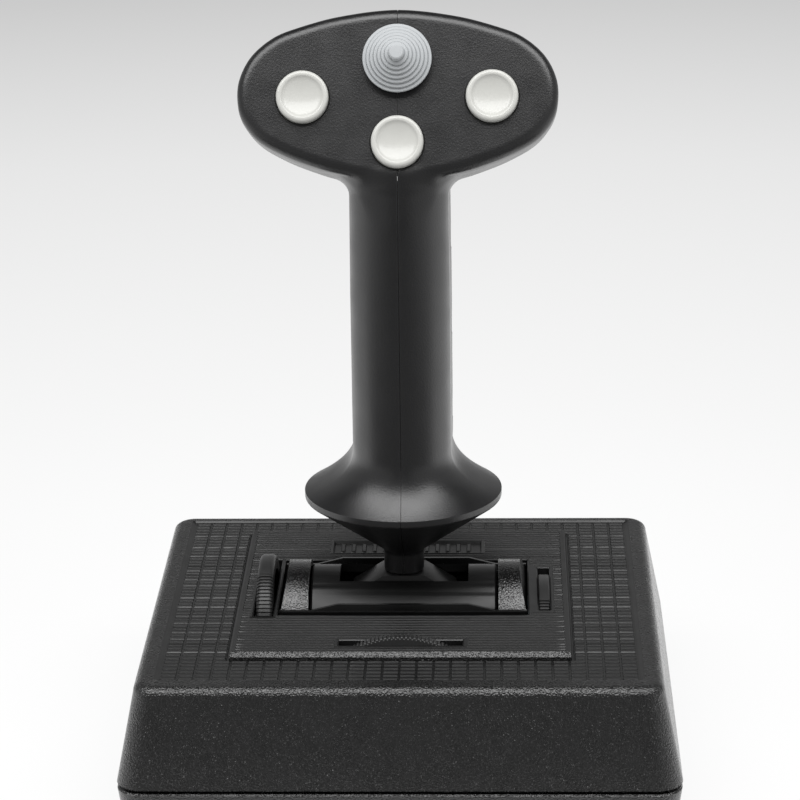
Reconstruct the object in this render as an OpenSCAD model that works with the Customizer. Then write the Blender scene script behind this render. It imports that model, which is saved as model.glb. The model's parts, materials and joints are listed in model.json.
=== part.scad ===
// Flight joystick on a weighted base: two-axis spring-centred gimbal, hand grip with
// three push buttons, a hat switch and a trigger, a throttle wheel and two trim wheels.
// Frame: origin on the rest plane under the middle of the base, X right, Y away from
// the user, Z up. Millimetres.

/* [Base] */
// Width of the flat top of the base
base_w = 160; // [156:1:166]
// Depth of the flat top of the base
base_d = 146; // [144:1:150]
// Height of the top plane above the table
base_h = 46.5; // [46:0.5:48]
// Outward lean of each side wall from the top down to the seam
side_lean = 5.5; // [3:0.5:7]
// Height of the seam between the housing and the base plate
seam_z = 15; // [14.5:0.5:16]
// Wall thickness of the housing
base_wall = 2.5; // [2:0.1:2.5]
// Rise of the ribbed platform above the top plane
platform_h = 1.8; // [1.2:0.1:2]
// Width of the ribbed platform
platform_w = 105; // [104:1:110]
// Depth of the sunken field around the platform
field_sink = 0.6; // [0.4:0.1:1]

/* [Gimbal] */
// Distance of the pitch axis behind the middle of the base
axis_y = 4; // [3:0.5:5]
// Height of the pitch and roll axes
axis_z = 34.5; // [34:0.5:35]
// Radius of the slotted drum
drum_r = 20.2; // [20:0.1:20.5]
// Radius of the two bearing caps beside the drum
cap_r = 21.8; // [21.6:0.1:21.9]
// Half width of the slot in the drum
slot_half_w = 7.4; // [7.2:0.1:7.8]
// Half length of the slot in the drum
slot_half_l = 20.5; // [19:0.5:22]

/* [Stick] */
// Diameter of the neck below the hand rest
neck_d = 12.7; // [12:0.1:13]
// Diameter of the steel shaft inside the neck
shaft_d = 9; // [8.6:0.1:9.4]
// Radius of the hand rest disc
rest_r = 31.2; // [28:0.2:32]
// Width of the grip column
column_w = 30.2; // [29:0.2:32]
// Depth of the grip column
column_d = 39; // [37:0.5:41]
// Backward tilt of the button face
face_tilt = 25; // [20:1:30]
// Height of the middle of the button face
face_z = 211.2; // [209:0.2:213]
// Diameter of the three push buttons
button_d = 15.9; // [15:0.1:16.5]
// Height of the buttons above the face
button_rise = 2.5; // [2:0.1:3]

/* [Wheels] */
// Radius of the throttle wheel
throttle_r = 23.5; // [22.5:0.1:23.8]
// Radius of the two trim wheels
trim_r = 30; // [29.5:0.1:30.3]
// Spacing of the grip teeth on the wheel rims
tooth_pitch = 1.3; // [1.1:0.1:1.8]

/* [Cable] */
// Diameter of the cable
cable_d = 5; // [4:0.1:5.4]
// Radius of the coiled bundle of cable
coil_r = 26; // [24:1:27]

/* [Hidden] */
$fn = 96;

fit = 0.05;            // radial clearance of every running fit
snug = 0.02;           // radial clearance of fixed fits
top_z = base_h + platform_h;
under_z = base_h - base_wall;
seam_w = base_w + 2 * side_lean;
seam_d = base_d + 2 * side_lean;
foot_h = 3;
floor_t = 2.5;
field_side = 7;
field_front = 7.4;
field_back = 4.8;
plate_half = 24;
plate_y = [34.5, 44.5];
tower_in = 31;
tower_t = 4;
drum_half = 29.5;
cap_half = 39.3;
collar_r = 24.8;
collar_half = 39;
collar_wall_y = 19.8;
collar_wall_t = 1.2;
collar_step_z = 11.8;
frame_wall_in = 26;
frame_wall_out = 29.5;
shaft_r = shaft_d / 2;
button_r = button_d / 2;
button_travel = 1.8;
screw_r = 1.45;
hub_top = 20.4;
face_y = -4.6;
shell_t = 2.5;
head_deep = 28;
grip_y = 2.5;
rest_z = 80.3;
rest_band = 2.2;
column_z = 98;
trigger_y = 17;
trigger_z = 203;
hat_w = 11.4;
hat_pivot_depth = 6;
hat_r = 10.45;
hat_rings = 7;
button_spots = [[-28.7, 0], [28.6, 0], [0, -13.9]];
throttle_x = [-46.5, -41.3];
throttle_web = 1.5;
throttle_smooth = 22;
trim_w = 3.4;
pitch_trim_x = [42.9, 42.9 + trim_w];
pitch_trim_y = 2.55;
roll_trim_y = [-39.7 - trim_w, -39.7];
slot_gap = 0.2;
trim_z = 20.8;
trim_smooth = 20;
base_screw_spots = [[-69, -57], [69, -57], [-69, 57], [69, 57]];
foot_spots = [[0, 0], [-58, -62], [58, -62], [-58, 62], [58, 62]];
frame_screw_spots = [[-33, -29], [33, -29], [-33, 37], [33, 37]];
bracket_screw_spots = [[-58, -9], [-58, 17], [54, -2], [54, 7], [-5, -52], [5, -52]];
board_screw_spots = [[-33, 46], [33, 46], [-33, 62], [33, 62]];
grip_screw_heights = [106, 134, 162];
grip_screw_y = 15;
exit_x = 2;
coil_centre = [exit_x + coil_r, 112];
coil_pitch = 5.8;
coil_turns = 2.75;
coil_low_z = cable_d / 2 + 0.3;
coil_top_z = coil_low_z + coil_turns * coil_pitch;
exit_z = 22;
plug_x = -16;
plug_y = 98;
plug_z = 7.6;

// ---- helpers ----
function shift(middle, span) = [middle + span[0], middle + span[1]];
module box(x, y, z) {
    translate([x[0], y[0], z[0]]) cube([x[1] - x[0], y[1] - y[0], z[1] - z[0]]);
}
module rod_x(r, x, y, z) {
    translate([x[0], y, z]) rotate([0, 90, 0]) cylinder(r = r, h = x[1] - x[0]);
}
module rod_y(r, y, x, z) {
    translate([x, y[0], z]) rotate([-90, 0, 0]) cylinder(r = r, h = y[1] - y[0]);
}
module rod_z(r, z, x, y) {
    translate([x, y, z[0]]) cylinder(r = r, h = z[1] - z[0]);
}
module mirror_pair() {
    children();
    mirror([1, 0, 0]) children();
}
module on_face(u = 0, w = 0) {
    translate([0, face_y, face_z]) rotate([90 - face_tilt, 0, 0]) translate([u, w, 0]) children();
}
// Four leaning corner posts wrapped into a rounded, tapered block
module tapered_block(w, d, z, r, lean) {
    hull() for (sx = [-1, 1], sy = [-1, 1])
        translate([sx * (w / 2 - r), sy * (d / 2 - r), 0]) {
            translate([0, 0, z[1] - 0.01]) cylinder(r = r, h = 0.01, $fn = 32);
            translate([sx * lean, sy * lean, z[0]]) cylinder(r = r, h = 0.01, $fn = 32);
        }
}
module screw(len, head_r = 3, head_t = 2) {
    cylinder(r = screw_r, h = len);
    translate([0, 0, -head_t]) difference() {
        cylinder(r = head_r, h = head_t);
        for (a = [0, 90]) rotate(a) translate([-1.8, -0.4, -0.01]) cube([3.6, 0.8, 1]);
    }
}
// Solid tube of radius r swept along a list of points
function unit(v) = v / norm(v);
function path_dir(p, i) = unit(p[min(i + 1, len(p) - 1)] - p[max(i - 1, 0)]);
function side_of(d) = abs(d[2]) < 0.9 ? unit(cross(d, [0, 0, 1])) : unit(cross(d, [0, 1, 0]));
module sweep(path, r, sides = 10) {
    n = len(path);
    rings = [for (i = [0:n - 1]) let (d = path_dir(path, i), s = side_of(d), t = cross(s, d))
        for (k = [0:sides - 1]) path[i] + r * (cos(360 * k / sides) * s + sin(360 * k / sides) * t)];
    walls = [for (i = [0:n - 2], k = [0:sides - 1]) let (j = (k + 1) % sides)
        [i * sides + k, i * sides + j, (i + 1) * sides + j, (i + 1) * sides + k]];
    start_cap = [[for (k = [sides - 1:-1:0]) k]];
    end_cap = [[for (k = [0:sides - 1]) (n - 1) * sides + k]];
    polyhedron(rings, concat(walls, start_cap, end_cap), convexity = 6);
}
function bezier(a, b, c, d, t) =
    pow(1 - t, 3) * a + 3 * t * pow(1 - t, 2) * b + 3 * t * t * (1 - t) * c + pow(t, 3) * d;
// Coil spring along local X with short straight ends that leave along local Z
module coil_spring(radius, wire, length, turns) {
    steps = turns * 16;
    coil = [for (i = [0:steps]) let (a = 360 * turns * i / steps)
        [length * i / steps, radius * sin(a), radius * cos(a)]];
    sweep(coil, wire, 6);
}
// Rim outline with fine teeth; the span of smooth degrees either side of the top is plain
function rim_radius(r, i, a, smooth) = abs(a) < smooth ? r : r - 0.45 * (i % 2);
module toothed_rim(r, half_angle, smooth) {
    steps = 2 * round(half_angle * PI / 180 * r / tooth_pitch);
    rim = [for (i = [-steps:steps]) let (a = half_angle * i / steps, q = rim_radius(r, abs(i), a, smooth))
        [q * sin(a), q * cos(a)]];
    polygon(half_angle < 180 ? concat(rim, [[0, 0]]) : [for (i = [0:len(rim) - 2]) rim[i]]);
}

// ---- base ----
module slot_openings() {
    box([-39.5, 39.5], [-19.1, 27.7], [under_z - 1, top_z + 1]);
    box([throttle_x[0] - 0.6, throttle_x[1] + 0.6], [-20, 28], [under_z - 1, top_z + 1]);
    box(pitch_trim_x + [-slot_gap, slot_gap], [-15.4, 20.5], [under_z - 1, top_z + 1]);
    box([-19.1, 19.1], roll_trim_y + [-2 * slot_gap, 2 * slot_gap], [under_z - 1, top_z + 1]);
    rod_x(trim_r + 0.8, pitch_trim_x + [-0.4, 0.4], pitch_trim_y, trim_z);
    rod_y(trim_r + 0.8, roll_trim_y + [-0.4, 0.4], 0, trim_z);
}
module housing_bosses() {
    for (p = base_screw_spots) rod_z(4.2, [seam_z + 0.4, under_z + 0.5], p[0], p[1]);
    for (p = frame_screw_spots) rod_z(3.4, [30, under_z + 0.5], p[0], p[1]);
}
module base_housing() color([0.10, 0.10, 0.11]) difference() {
    union() {
        difference() {
            union() {
                tapered_block(base_w - 4, base_d - 4, [base_h - 2.1, base_h], 5, 2);
                tapered_block(base_w, base_d, [seam_z, base_h - 2], 7, side_lean);
            }
            tapered_block(base_w - 2 * base_wall, base_d - 2 * base_wall,
                [seam_z - 0.1, under_z], 5, side_lean);
            box([-base_w / 2 + field_side, base_w / 2 - field_side],
                [-base_d / 2 + field_front, base_d / 2 - field_back],
                [base_h - field_sink, base_h + 1]);
        }
        box([-platform_w / 2, platform_w / 2], [-50, 56], [under_z, top_z]);
        housing_bosses();
    }
    slot_openings();
    box([-plate_half, plate_half], plate_y, [top_z - 0.8, top_z + 1]);
    for (p = base_screw_spots) rod_z(screw_r + snug, [seam_z, 32], p[0], p[1]);
    for (p = frame_screw_spots) rod_z(screw_r + snug, [29, 40], p[0], p[1]);
    for (p = bracket_screw_spots) rod_z(screw_r + snug, [under_z - 1, under_z + 1.4], p[0], p[1]);
    rod_y(4.5, [60, 90], exit_x, exit_z);
}
module base_plate() color([0.09, 0.09, 0.10]) difference() {
    union() {
        difference() {
            tapered_block(seam_w, seam_d, [foot_h, seam_z - 0.4], 7, -1.5);
            tapered_block(seam_w - 6, seam_d - 6, [foot_h + floor_t, seam_z], 5, -1.5);
        }
        for (p = base_screw_spots) rod_z(5, [foot_h, seam_z + 0.2], p[0], p[1]);
        for (p = board_screw_spots) rod_z(3, [foot_h, 9], p[0], p[1]);
    }
    for (p = base_screw_spots) {
        rod_z(3.4, [foot_h - 1, 12], p[0], p[1]);
        rod_z(screw_r + 0.2, [11, seam_z + 1], p[0], p[1]);
    }
    for (p = board_screw_spots) rod_z(screw_r + snug, [foot_h + 1, 10], p[0], p[1]);
    for (p = foot_spots) rod_z(8.2, [foot_h - 1, foot_h + 0.6], p[0], p[1]);
}
module rubber_feet() color([0.04, 0.04, 0.04])
    for (p = foot_spots) rod_z(8, [0, foot_h + 0.6], p[0], p[1]);
module base_screws() color("silver")
    for (p = base_screw_spots) translate([p[0], p[1], 12]) screw(16);

// ---- gimbal frame and its bearings ----
// Outline of the collar seen from the front: flat at the ends, raised in the middle
module collar_profile() {
    polygon([[-39, axis_z + 4], [-31, axis_z + 4], [-31, axis_z + 8.5], [31, axis_z + 8.5],
        [31, axis_z + 4], [39, axis_z + 4], [39, top_z + 0.1], [29, top_z + 0.1],
        [slot_half_l, top_z + 2.3], [-slot_half_l, top_z + 2.3], [-29, top_z + 0.1],
        [-39, top_z + 0.1]]);
}
// Lower ring round the drum with a thin upright wall in front of it and behind it
module collar() intersection() {
    union() {
        difference() {
            rod_x(collar_r, [-collar_half, collar_half], axis_y, axis_z);
            rod_x(cap_r + 0.4, [-40, 40], axis_y, axis_z);
            box([-40, 40], [-30, 40], shift(axis_z, [collar_step_z, 30]));
        }
        for (s = [-1, 1]) box([-collar_half, collar_half],
            shift(axis_y + s * collar_wall_y, [-collar_wall_t / 2, collar_wall_t / 2]),
            shift(axis_z, [collar_step_z - 0.8, 30]));
    }
    translate([0, axis_y + 30, 0]) rotate([90, 0, 0]) linear_extrude(60) collar_profile();
}
module gimbal_tower() {
    box([tower_in, tower_in + tower_t], shift(axis_y, [-29.5, 29.5]), [16, axis_z + 5.2]);
    rod_x(10, [tower_in, tower_in + tower_t], axis_y, axis_z);
    for (s = [-1, 1]) box([tower_in, 38.5], shift(axis_y + s * 24.1, [-0.7, 0.7]), [axis_z - 6, axis_z + 6]);
}
module gimbal_frame() color([0.12, 0.12, 0.13]) difference() {
    union() {
        collar();
        mirror_pair() gimbal_tower();
        for (s = [-1, 1]) box([-35, 35], shift(axis_y + s * 27.75, [-1.75, 1.75]), [16, 40]);
        for (p = frame_screw_spots) rod_z(4, [26, 29.9], p[0], p[1]);
    }
    rod_x(6 + snug, [-40, 40], axis_y, axis_z);
    rod_y(5 + snug, shift(axis_y, [-32, 32]), 0, axis_z);
    for (p = frame_screw_spots) rod_z(screw_r + 0.2, [20, 30], p[0], p[1]);
}
module bearing_cap() color([0.07, 0.07, 0.075]) difference() {
    rod_x(cap_r, [drum_half + 0.5, cap_half], axis_y, axis_z);
    rod_x(cap_r - 2.2, [drum_half, cap_half - 1.5], axis_y, axis_z);
    box([0, 50], [-40, 50], [0, axis_z + 5.5]);
    rod_x(9.6, [30, 50], axis_y, axis_z);
}
module left_bearing_cap() mirror([1, 0, 0]) bearing_cap();
module right_bearing_cap() bearing_cap();
module frame_screws() color("silver")
    for (p = frame_screw_spots) translate([p[0], p[1], 26]) screw(13);
module bush(outer, inner, l) difference() {
    cylinder(r = outer, h = l);
    translate([0, 0, -1]) cylinder(r = inner, h = l + 2);
}
module pitch_bushes() color("peru") for (x = [-tower_in - tower_t, tower_in])
    translate([x, axis_y, axis_z]) rotate([0, 90, 0]) bush(6, 4 + fit, tower_t);
module roll_bushes() color("peru") for (y = [-frame_wall_out, frame_wall_in])
    translate([0, axis_y + y, axis_z]) rotate([-90, 0, 0]) bush(5, 3 + fit, 3.5);
module pitch_spring() color("silver")
    translate([-37.3, axis_y, axis_z]) coil_spring(6.2, 0.45, 1.8, 2);
module roll_spring() color("silver")
    translate([0, axis_y + 30.2, axis_z]) rotate(90) coil_spring(5.2, 0.45, 2.2, 2);

// ---- electrical parts of the base ----
// Potentiometer: round can along local Z with three solder lugs
module pot(r, depth) difference() {
    union() {
        cylinder(r = r, h = depth);
        for (k = [-1:1]) translate([k * 4 - 0.6, -r - 4, depth / 2]) cube([1.2, 6, 0.6]);
    }
    translate([0, 0, -1]) cylinder(r = 3 + fit, h = depth + 2);
}
module pitch_pot() color("darkslategray")
    translate([tower_in + tower_t + 0.1, axis_y, axis_z]) rotate([90, 0, 90]) pot(9, 6.3);
module roll_pot() color("darkslategray")
    translate([0, axis_y - frame_wall_out - 0.1, axis_z]) rotate([90, 0, 0]) pot(9, 7.5);
module throttle_pot() color("darkslategray")
    translate([-51.6, axis_y, axis_z]) rotate([90, 0, -90]) pot(9, 8);
module pitch_trim_pot() color("darkslategray")
    translate([49.4, pitch_trim_y, trim_z]) rotate([90, 0, 90]) pot(8, 7);
module roll_trim_pot() color("darkslategray")
    translate([0, -47.4, trim_z]) rotate([90, 0, 0]) pot(8, 7);
// Sheet bracket: an upright plate with a shaft hole under a flange that screws to the top
module bracket(span, drop, hole_z, flange_l) difference() {
    union() {
        translate([-span / 2, 0, -drop]) cube([span, 2, drop]);
        translate([-span / 2, 0, -2]) cube([span, flange_l, 2]);
    }
    translate([0, -1, hole_z]) rotate([-90, 0, 0]) cylinder(r = 3 + fit, h = 4);
}
module throttle_bracket() color("gainsboro") difference() {
    translate([-49.5, axis_y, under_z]) rotate(90) bracket(34, 22, axis_z - under_z, 13);
    rod_x(9.3, [-63, -51.55], axis_y, axis_z);
    bracket_holes();
}
module pitch_trim_bracket() color("gainsboro") difference() {
    translate([47.3, pitch_trim_y, under_z]) rotate(-90) bracket(18, 32, trim_z - under_z, 11);
    bracket_holes();
}
module roll_trim_bracket() color("gainsboro") difference() {
    translate([0, -45.3, under_z]) rotate(180) bracket(18, 32, trim_z - under_z, 11);
    bracket_holes();
}
module bracket_holes()
    for (p = bracket_screw_spots) rod_z(screw_r + 0.2, [under_z - 3, under_z + 1], p[0], p[1]);
module bracket_screws() color("silver")
    for (p = bracket_screw_spots) translate([p[0], p[1], under_z - 2]) screw(3.2, 2.6, 1.6);
module circuit_board() color("darkgreen") difference() {
    box([-37, 37], [42, 66], [9, 10.6]);
    for (p = board_screw_spots) rod_z(screw_r + 0.2, [8, 12], p[0], p[1]);
}
module board_components() color([0.15, 0.15, 0.15]) {
    box([-22, -4], [48, 55], [10.6, 14]);
    box([4, 16], [48, 55], [10.6, 13]);
    box([-18, 8], [59, 63], [10.6, 17]);
    for (k = [0:3]) rod_z(2.2, [10.6, 16], 20 + (k % 2) * 6, 50 + floor(k / 2) * 7);
}
module board_screws() color("silver")
    for (p = board_screw_spots) translate([p[0], p[1], 10.6]) rotate([180, 0, 0]) screw(5.5, 2.6, 1.6);

// ---- cable and plug ----
module strain_relief() color([0.05, 0.05, 0.05]) translate([exit_x, base_d / 2, exit_z]) difference() {
    union() {
        rod_y(4.4, [-3, 7], 0, 0);
        rod_y(6, [-4, -1.5], 0, 0);
        rod_y(6, [5.6, 8], 0, 0);
        for (k = [0:3]) rod_y(5.2 - 0.4 * k, [8 + k * 3, 10 + k * 3], 0, 0);
        rod_y(3.4, [7, 20], 0, 0);
    }
    rod_y(cable_d / 2 + snug, [-11, 24], 0, 0);
}
// Three loops coiled behind the base, from the exit down to the plug
function coil_point(f) = let (a = 180 - 360 * coil_turns * f)
    [coil_centre[0] + coil_r * cos(a), coil_centre[1] + coil_r * sin(a),
        coil_top_z - coil_turns * coil_pitch * f];
function cable_path() = let (
    out = [for (i = [0:3]) [exit_x, base_d / 2 - 7 + i * 9, exit_z]],
    drop_from = [exit_x, base_d / 2 + 22, exit_z],
    drop_to = coil_point(0) - [0, 1, 0],
    drop = [for (i = [0:5]) bezier(drop_from, drop_from + [0, 7, 0], drop_to - [0, 7, 0], drop_to, i / 5)],
    loops = [for (i = [0:88]) coil_point(i / 88)],
    end = coil_point(1),
    straight = [end - [10, 0, 0], end - [20, 0, 0]],
    turn_at = end - [28, 0, 0],
    plug = [plug_x, plug_y, plug_z],
    lead = [for (i = [0:8]) bezier(turn_at, turn_at - [8, 0, 0], plug + [8, 0, 0], plug, i / 8)]
) concat(out, drop, loops, straight, lead);
module cable() color([0.06, 0.06, 0.06]) sweep(cable_path(), cable_d / 2, 12);
module cable_tie() color([0.08, 0.08, 0.08]) translate([coil_centre[0] + coil_r, coil_centre[1], 0])
    difference() {
        union() {
            box([-3.9, 3.9], [-1.8, 1.8], [0.8, 19.6]);
            box([3.5, 7], [-2.6, 2.6], [9, 14]);
        }
        box([-2.9, 2.9], [-3, 3], [1.6, 18.8]);
    }
module plug_shell() color([0.07, 0.07, 0.07]) translate([plug_x, plug_y, plug_z]) difference() {
    hull() {
        box([-34, -16], [-19, 19], [-7, 7]);
        rod_x(5, [-3, 0], 0, 0);
    }
    rod_x(cable_d / 2 + snug, [-2, 1], 0, 0);
    for (s = [-1, 1]) rod_x(3.2, [-36, -13], s * 15, 0);
}
module plug_contacts() color("silver") translate([plug_x, plug_y, plug_z]) {
    box([-35, -34.05], [-12, 12], [-6, 6]);
    difference() {
        box([-40, -35], [-12, 12], [-4.5, 4.5]);
        box([-41, -35.5], [-11.3, 11.3], [-3.8, 3.8]);
    }
    for (k = [0:7]) rod_x(0.5, [-39.4, -35.2], -9.6 + k * 2.74, 1.4);
    for (k = [0:6]) rod_x(0.5, [-39.4, -35.2], -8.2 + k * 2.74, -1.4);
}
module plug_screws() color("dimgray") translate([plug_x, plug_y, plug_z]) for (s = [-1, 1]) {
    rod_x(3, [-33, -13.2], s * 15, 0);
    rod_x(1.3, [-38, -33], s * 15, 0);
}

// ---- pitch body: the slotted drum ----
module drum_shell() difference() {
    rod_x(drum_r, [-drum_half, drum_half], axis_y, axis_z);
    rod_x(drum_r - 2.5, [-drum_half + 2.5, drum_half - 2.5], axis_y, axis_z);
    box([-slot_half_l, slot_half_l], shift(axis_y, [-slot_half_w, slot_half_w]), [axis_z, axis_z + 30]);
    box([-drum_half + 2.5, drum_half - 2.5], shift(axis_y, [-30, 30]), [0, axis_z + 7]);
}
module pitch_drum() color([0.13, 0.13, 0.14]) difference() {
    union() {
        drum_shell();
        for (s = [-1, 1]) box([-27.5, 27.5], shift(axis_y + s * 10.75, [-1.25, 1.25]), shift(axis_z, [-5, 13.6]));
    }
    rod_y(2.5 + fit, shift(axis_y, [-14, 14]), 0, axis_z);
    rod_x(4 + snug, [-30, -26], axis_y, axis_z);
    rod_x(4 + snug, [26, 30], axis_y, axis_z);
}
module pitch_pivots() color("silver") {
    rod_x(4, [-37.2, -27], axis_y, axis_z);
    rod_x(4, [27, tower_in + tower_t], axis_y, axis_z);
    rod_x(3, [tower_in + tower_t, 40.6], axis_y, axis_z);
}

// ---- roll body under the drum ----
module roll_bail() color("darkgray") difference() {
    union() {
        intersection() {
            difference() {
                rod_x(24.5, [-9, 9], axis_y, axis_z);
                rod_x(22, [-10, 10], axis_y, axis_z);
            }
            box([-9, 9], shift(axis_y, [-25, 25]), [0, axis_z]);
        }
        for (s = [-1, 1]) rod_y(6, shift(axis_y + s * 23.25, [-1.25, 1.25]), 0, axis_z);
    }
    box([-3.6, 3.6], shift(axis_y, [-13, 13]), [0, axis_z - 12]);
    rod_y(3 + snug, shift(axis_y, [-30, 30]), 0, axis_z);
}
module roll_pivots() color("silver") {
    rod_y(3, shift(axis_y, [-36.5, -22.2]), 0, axis_z);
    rod_y(3, shift(axis_y, [22.2, 33]), 0, axis_z);
}

// ---- stick body ----
module stick_shaft() color([0.75, 0.75, 0.77]) difference() {
    rod_z(shaft_r, [axis_z + 4, 118], 0, axis_y);
    rod_z(shaft_r - 1.6, [axis_z + 3, 119], 0, axis_y);
}
module hub_profile()
    polygon([[-6.6, hub_top], [6.6, hub_top], [16.6, 14.2], [15, 6], [6, 0], [-6, 0], [-15, 6], [-16.6, 14.2]]);
module shaft_hub() color([0.11, 0.11, 0.12]) difference() {
    union() {
        rod_y(8.5, shift(axis_y, [-8.9, 8.9]), 0, axis_z);
        translate([0, axis_y + 6.9, axis_z]) rotate([90, 0, 0]) linear_extrude(13.8) hub_profile();
    }
    rod_z(shaft_r + snug, [axis_z + 4, axis_z + 30], 0, axis_y);
    rod_z(3 + snug, [axis_z - 10, axis_z - 3], 0, axis_y);
    rod_y(2.5 + snug, shift(axis_y, [-10, 10]), 0, axis_z);
}
module roll_pin() color("silver") rod_y(2.5, shift(axis_y, [-12, 12]), 0, axis_z);
module tail_pin() color("silver") rod_z(3, [axis_z - 26, axis_z - 3], 0, axis_y);

// Outline of the button face: a broad crown that narrows to the column below
head_half = [[0, 27.5], [17, 25.6], [30, 22.2], [38, 18.9], [44.6, 13.2], [48.4, 5.5], [48.6, -1.5],
    [46.5, -8.2], [42, -13.5], [34.5, -18], [26.6, -21], [17.6, -23.2]];
head_last = len(head_half) - 1;
module head_outline(inset) {
    su = 1 - inset / 48.6;
    sw = 1 - inset / 27;
    polygon(concat([for (k = [0:head_last]) [su * head_half[k][0], sw * head_half[k][1]]],
        [for (k = [head_last:-1:1]) [-su * head_half[k][0], sw * head_half[k][1]]]));
}
module head_block(inset) on_face() hull() {
    translate([0, 0, -inset - 0.01]) linear_extrude(0.01) head_outline(inset + 2.2);
    translate([0, 0, -15]) linear_extrude(12.5 - inset) head_outline(inset);
    translate([0, 0, -head_deep + inset]) linear_extrude(0.01) head_outline(inset + 9);
}
// Rounded section of the column, flat-sided and fuller than an ellipse
function column_point(a, half_w, half_d, p = 2.6) = [
    half_w * sign(cos(a)) * pow(abs(cos(a)), 2 / p),
    half_d * sign(sin(a)) * pow(abs(sin(a)), 2 / p)];
module column_block(inset, z) translate([0, grip_y, z[0]]) linear_extrude(z[1] - z[0])
    polygon([for (i = [0:47]) column_point(i * 7.5, column_w / 2 - inset, column_d / 2 - inset)]);
// Hand rest: cone below, thin rim, concave sweep up to the column
function flare_r(t) = 15 + (rest_r - 15) * pow(1 - t, 2.2);
module hand_rest() translate([0, axis_y, 0]) rotate_extrude()
    polygon(concat([[0, 63], [8, 63], [rest_r, rest_z], [rest_r, rest_z + rest_band]],
        [for (i = [1:10]) let (t = i / 10)
            [flare_r(t), rest_z + rest_band + (column_z - rest_z - rest_band) * t]],
        [[0, column_z]]));
module rest_cavity() translate([0, axis_y, 0]) rotate_extrude()
    polygon([[10, 75], [17, 78], [25, 81], [18, 82.5], [13, 87], [10, 87]]);
module grip_solid() difference() {
    union() {
        difference() {
            union() {
                head_block(0);
                column_block(0, [84, 196]);
                hand_rest();
                rod_z(neck_d / 2, [axis_z + hub_top + 0.2, 64], 0, axis_y);
            }
            head_block(shell_t);
            column_block(shell_t, [92, 200]);
            on_face() translate([-60, -60, 0]) cube([120, 120, 40]);
        }
        for (z = [108, 152]) column_block(1, [z, z + 2.5]);
        for (z = grip_screw_heights) rod_x(3.6, [-10, 10], grip_screw_y, z);
        intersection() {
            head_block(1);
            box([-9, 9], [11, 34], [194, 212]);
        }
        box([-12.5, 12.5], [9, 13.8], [180.9, 182.9]);
    }
    rest_cavity();
    rod_z(shaft_r + snug, [50, 118.5], 0, axis_y);
    rod_z(5, [118, 160], 0, axis_y);
    for (b = button_spots) on_face(b[0], b[1]) translate([0, 0, -8]) cylinder(r = button_r + 0.1, h = 12);
    on_face(0, hat_w) translate([0, 0, -8]) cylinder(r = 6, h = 12);
    for (z = grip_screw_heights) {
        rod_x(3.2, [10, 20], grip_screw_y, z);
        rod_x(screw_r + snug, [-9.5, 12], grip_screw_y, z);
    }
    rod_x(1.5 + snug, [-8, 8], trigger_y, trigger_z);
    box([-5.4, 5.4], [12.6, 40], [176, 209]);
}
module grip_left() color([0.15, 0.15, 0.16]) intersection() {
    grip_solid();
    box([-60, -0.04], [-60, 60], [50, 250]);
}
module grip_right() color([0.15, 0.15, 0.16]) intersection() {
    grip_solid();
    box([0.04, 60], [-60, 60], [50, 250]);
}
module grip_screws() color("silver") for (z = grip_screw_heights)
    translate([10, grip_screw_y, z]) rotate([0, -90, 0]) screw(18.5, 3, 2);
module switch_board() color("darkgreen") on_face() difference() {
    translate([0, 0, -13.4]) linear_extrude(1.4)
        polygon([[-33, -12], [-22, -16], [22, -16], [33, -12], [33, 12], [22, 17], [-22, 17], [-33, 12]]);
    translate([-4, -17, -14]) cube([8, 2.5, 3]);
}
module button_switches() color([0.2, 0.2, 0.2]) for (b = button_spots) on_face(b[0], b[1]) {
    translate([-2.9, b[1] < 0 ? -1.9 : -2.9, -12]) cube([5.8, 5.8, 2.6]);
    translate([0, 0, -9.5]) cylinder(r = 1.5, h = 1.1);
}
module hat_switches() color("silver") on_face(0, hat_w)
    for (a = [45:90:315]) rotate(a) translate([4.6, 0, -12]) cylinder(r = 1.4, h = 0.75);
module trigger_switch() color([0.2, 0.2, 0.2]) box([-4, 4], [9.2, 13.7], [182.9, 192]);
module trigger_pin() color("silver") rod_x(1.5, [-7.9, 7.9], trigger_y, trigger_z);
module trigger_spring() color("silver")
    translate([-1.2, trigger_y, trigger_z]) coil_spring(2.4, 0.35, 2.4, 3);
module grip_wiring() color("firebrick")
    sweep([for (i = [0:14]) [0, axis_y + 0.6 * sin(i * 50), 44 + i * 9.9]], 1.6, 8);

// ---- hat switch ----
module hat_base() color([0.2, 0.2, 0.2]) on_face(0, hat_w) difference() {
    translate([0, 0, -9]) cylinder(r = 12, h = 6.3);
    translate([0, 0, -10]) cylinder(r = 9.2, h = 9);
    translate([-13, 0, -hat_pivot_depth]) rotate([0, 90, 0]) cylinder(r = 1 + fit, h = 26);
    translate([-7, -16, -10]) cube([14, 8, 8]);
    translate([-13, 8.8, -10]) cube([26, 6, 8]);
}
module hat_ring() color("silver") on_face(0, hat_w) translate([0, 0, -hat_pivot_depth]) difference() {
    union() {
        translate([0, 0, -1.5]) cylinder(r = 8, h = 3);
        translate([-10.8, 0, 0]) rotate([0, 90, 0]) cylinder(r = 1, h = 21.6);
    }
    translate([0, 0, -2]) cylinder(r = 6, h = 4);
    translate([0, -9, 0]) rotate([-90, 0, 0]) cylinder(r = 1 + fit, h = 18);
}
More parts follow.
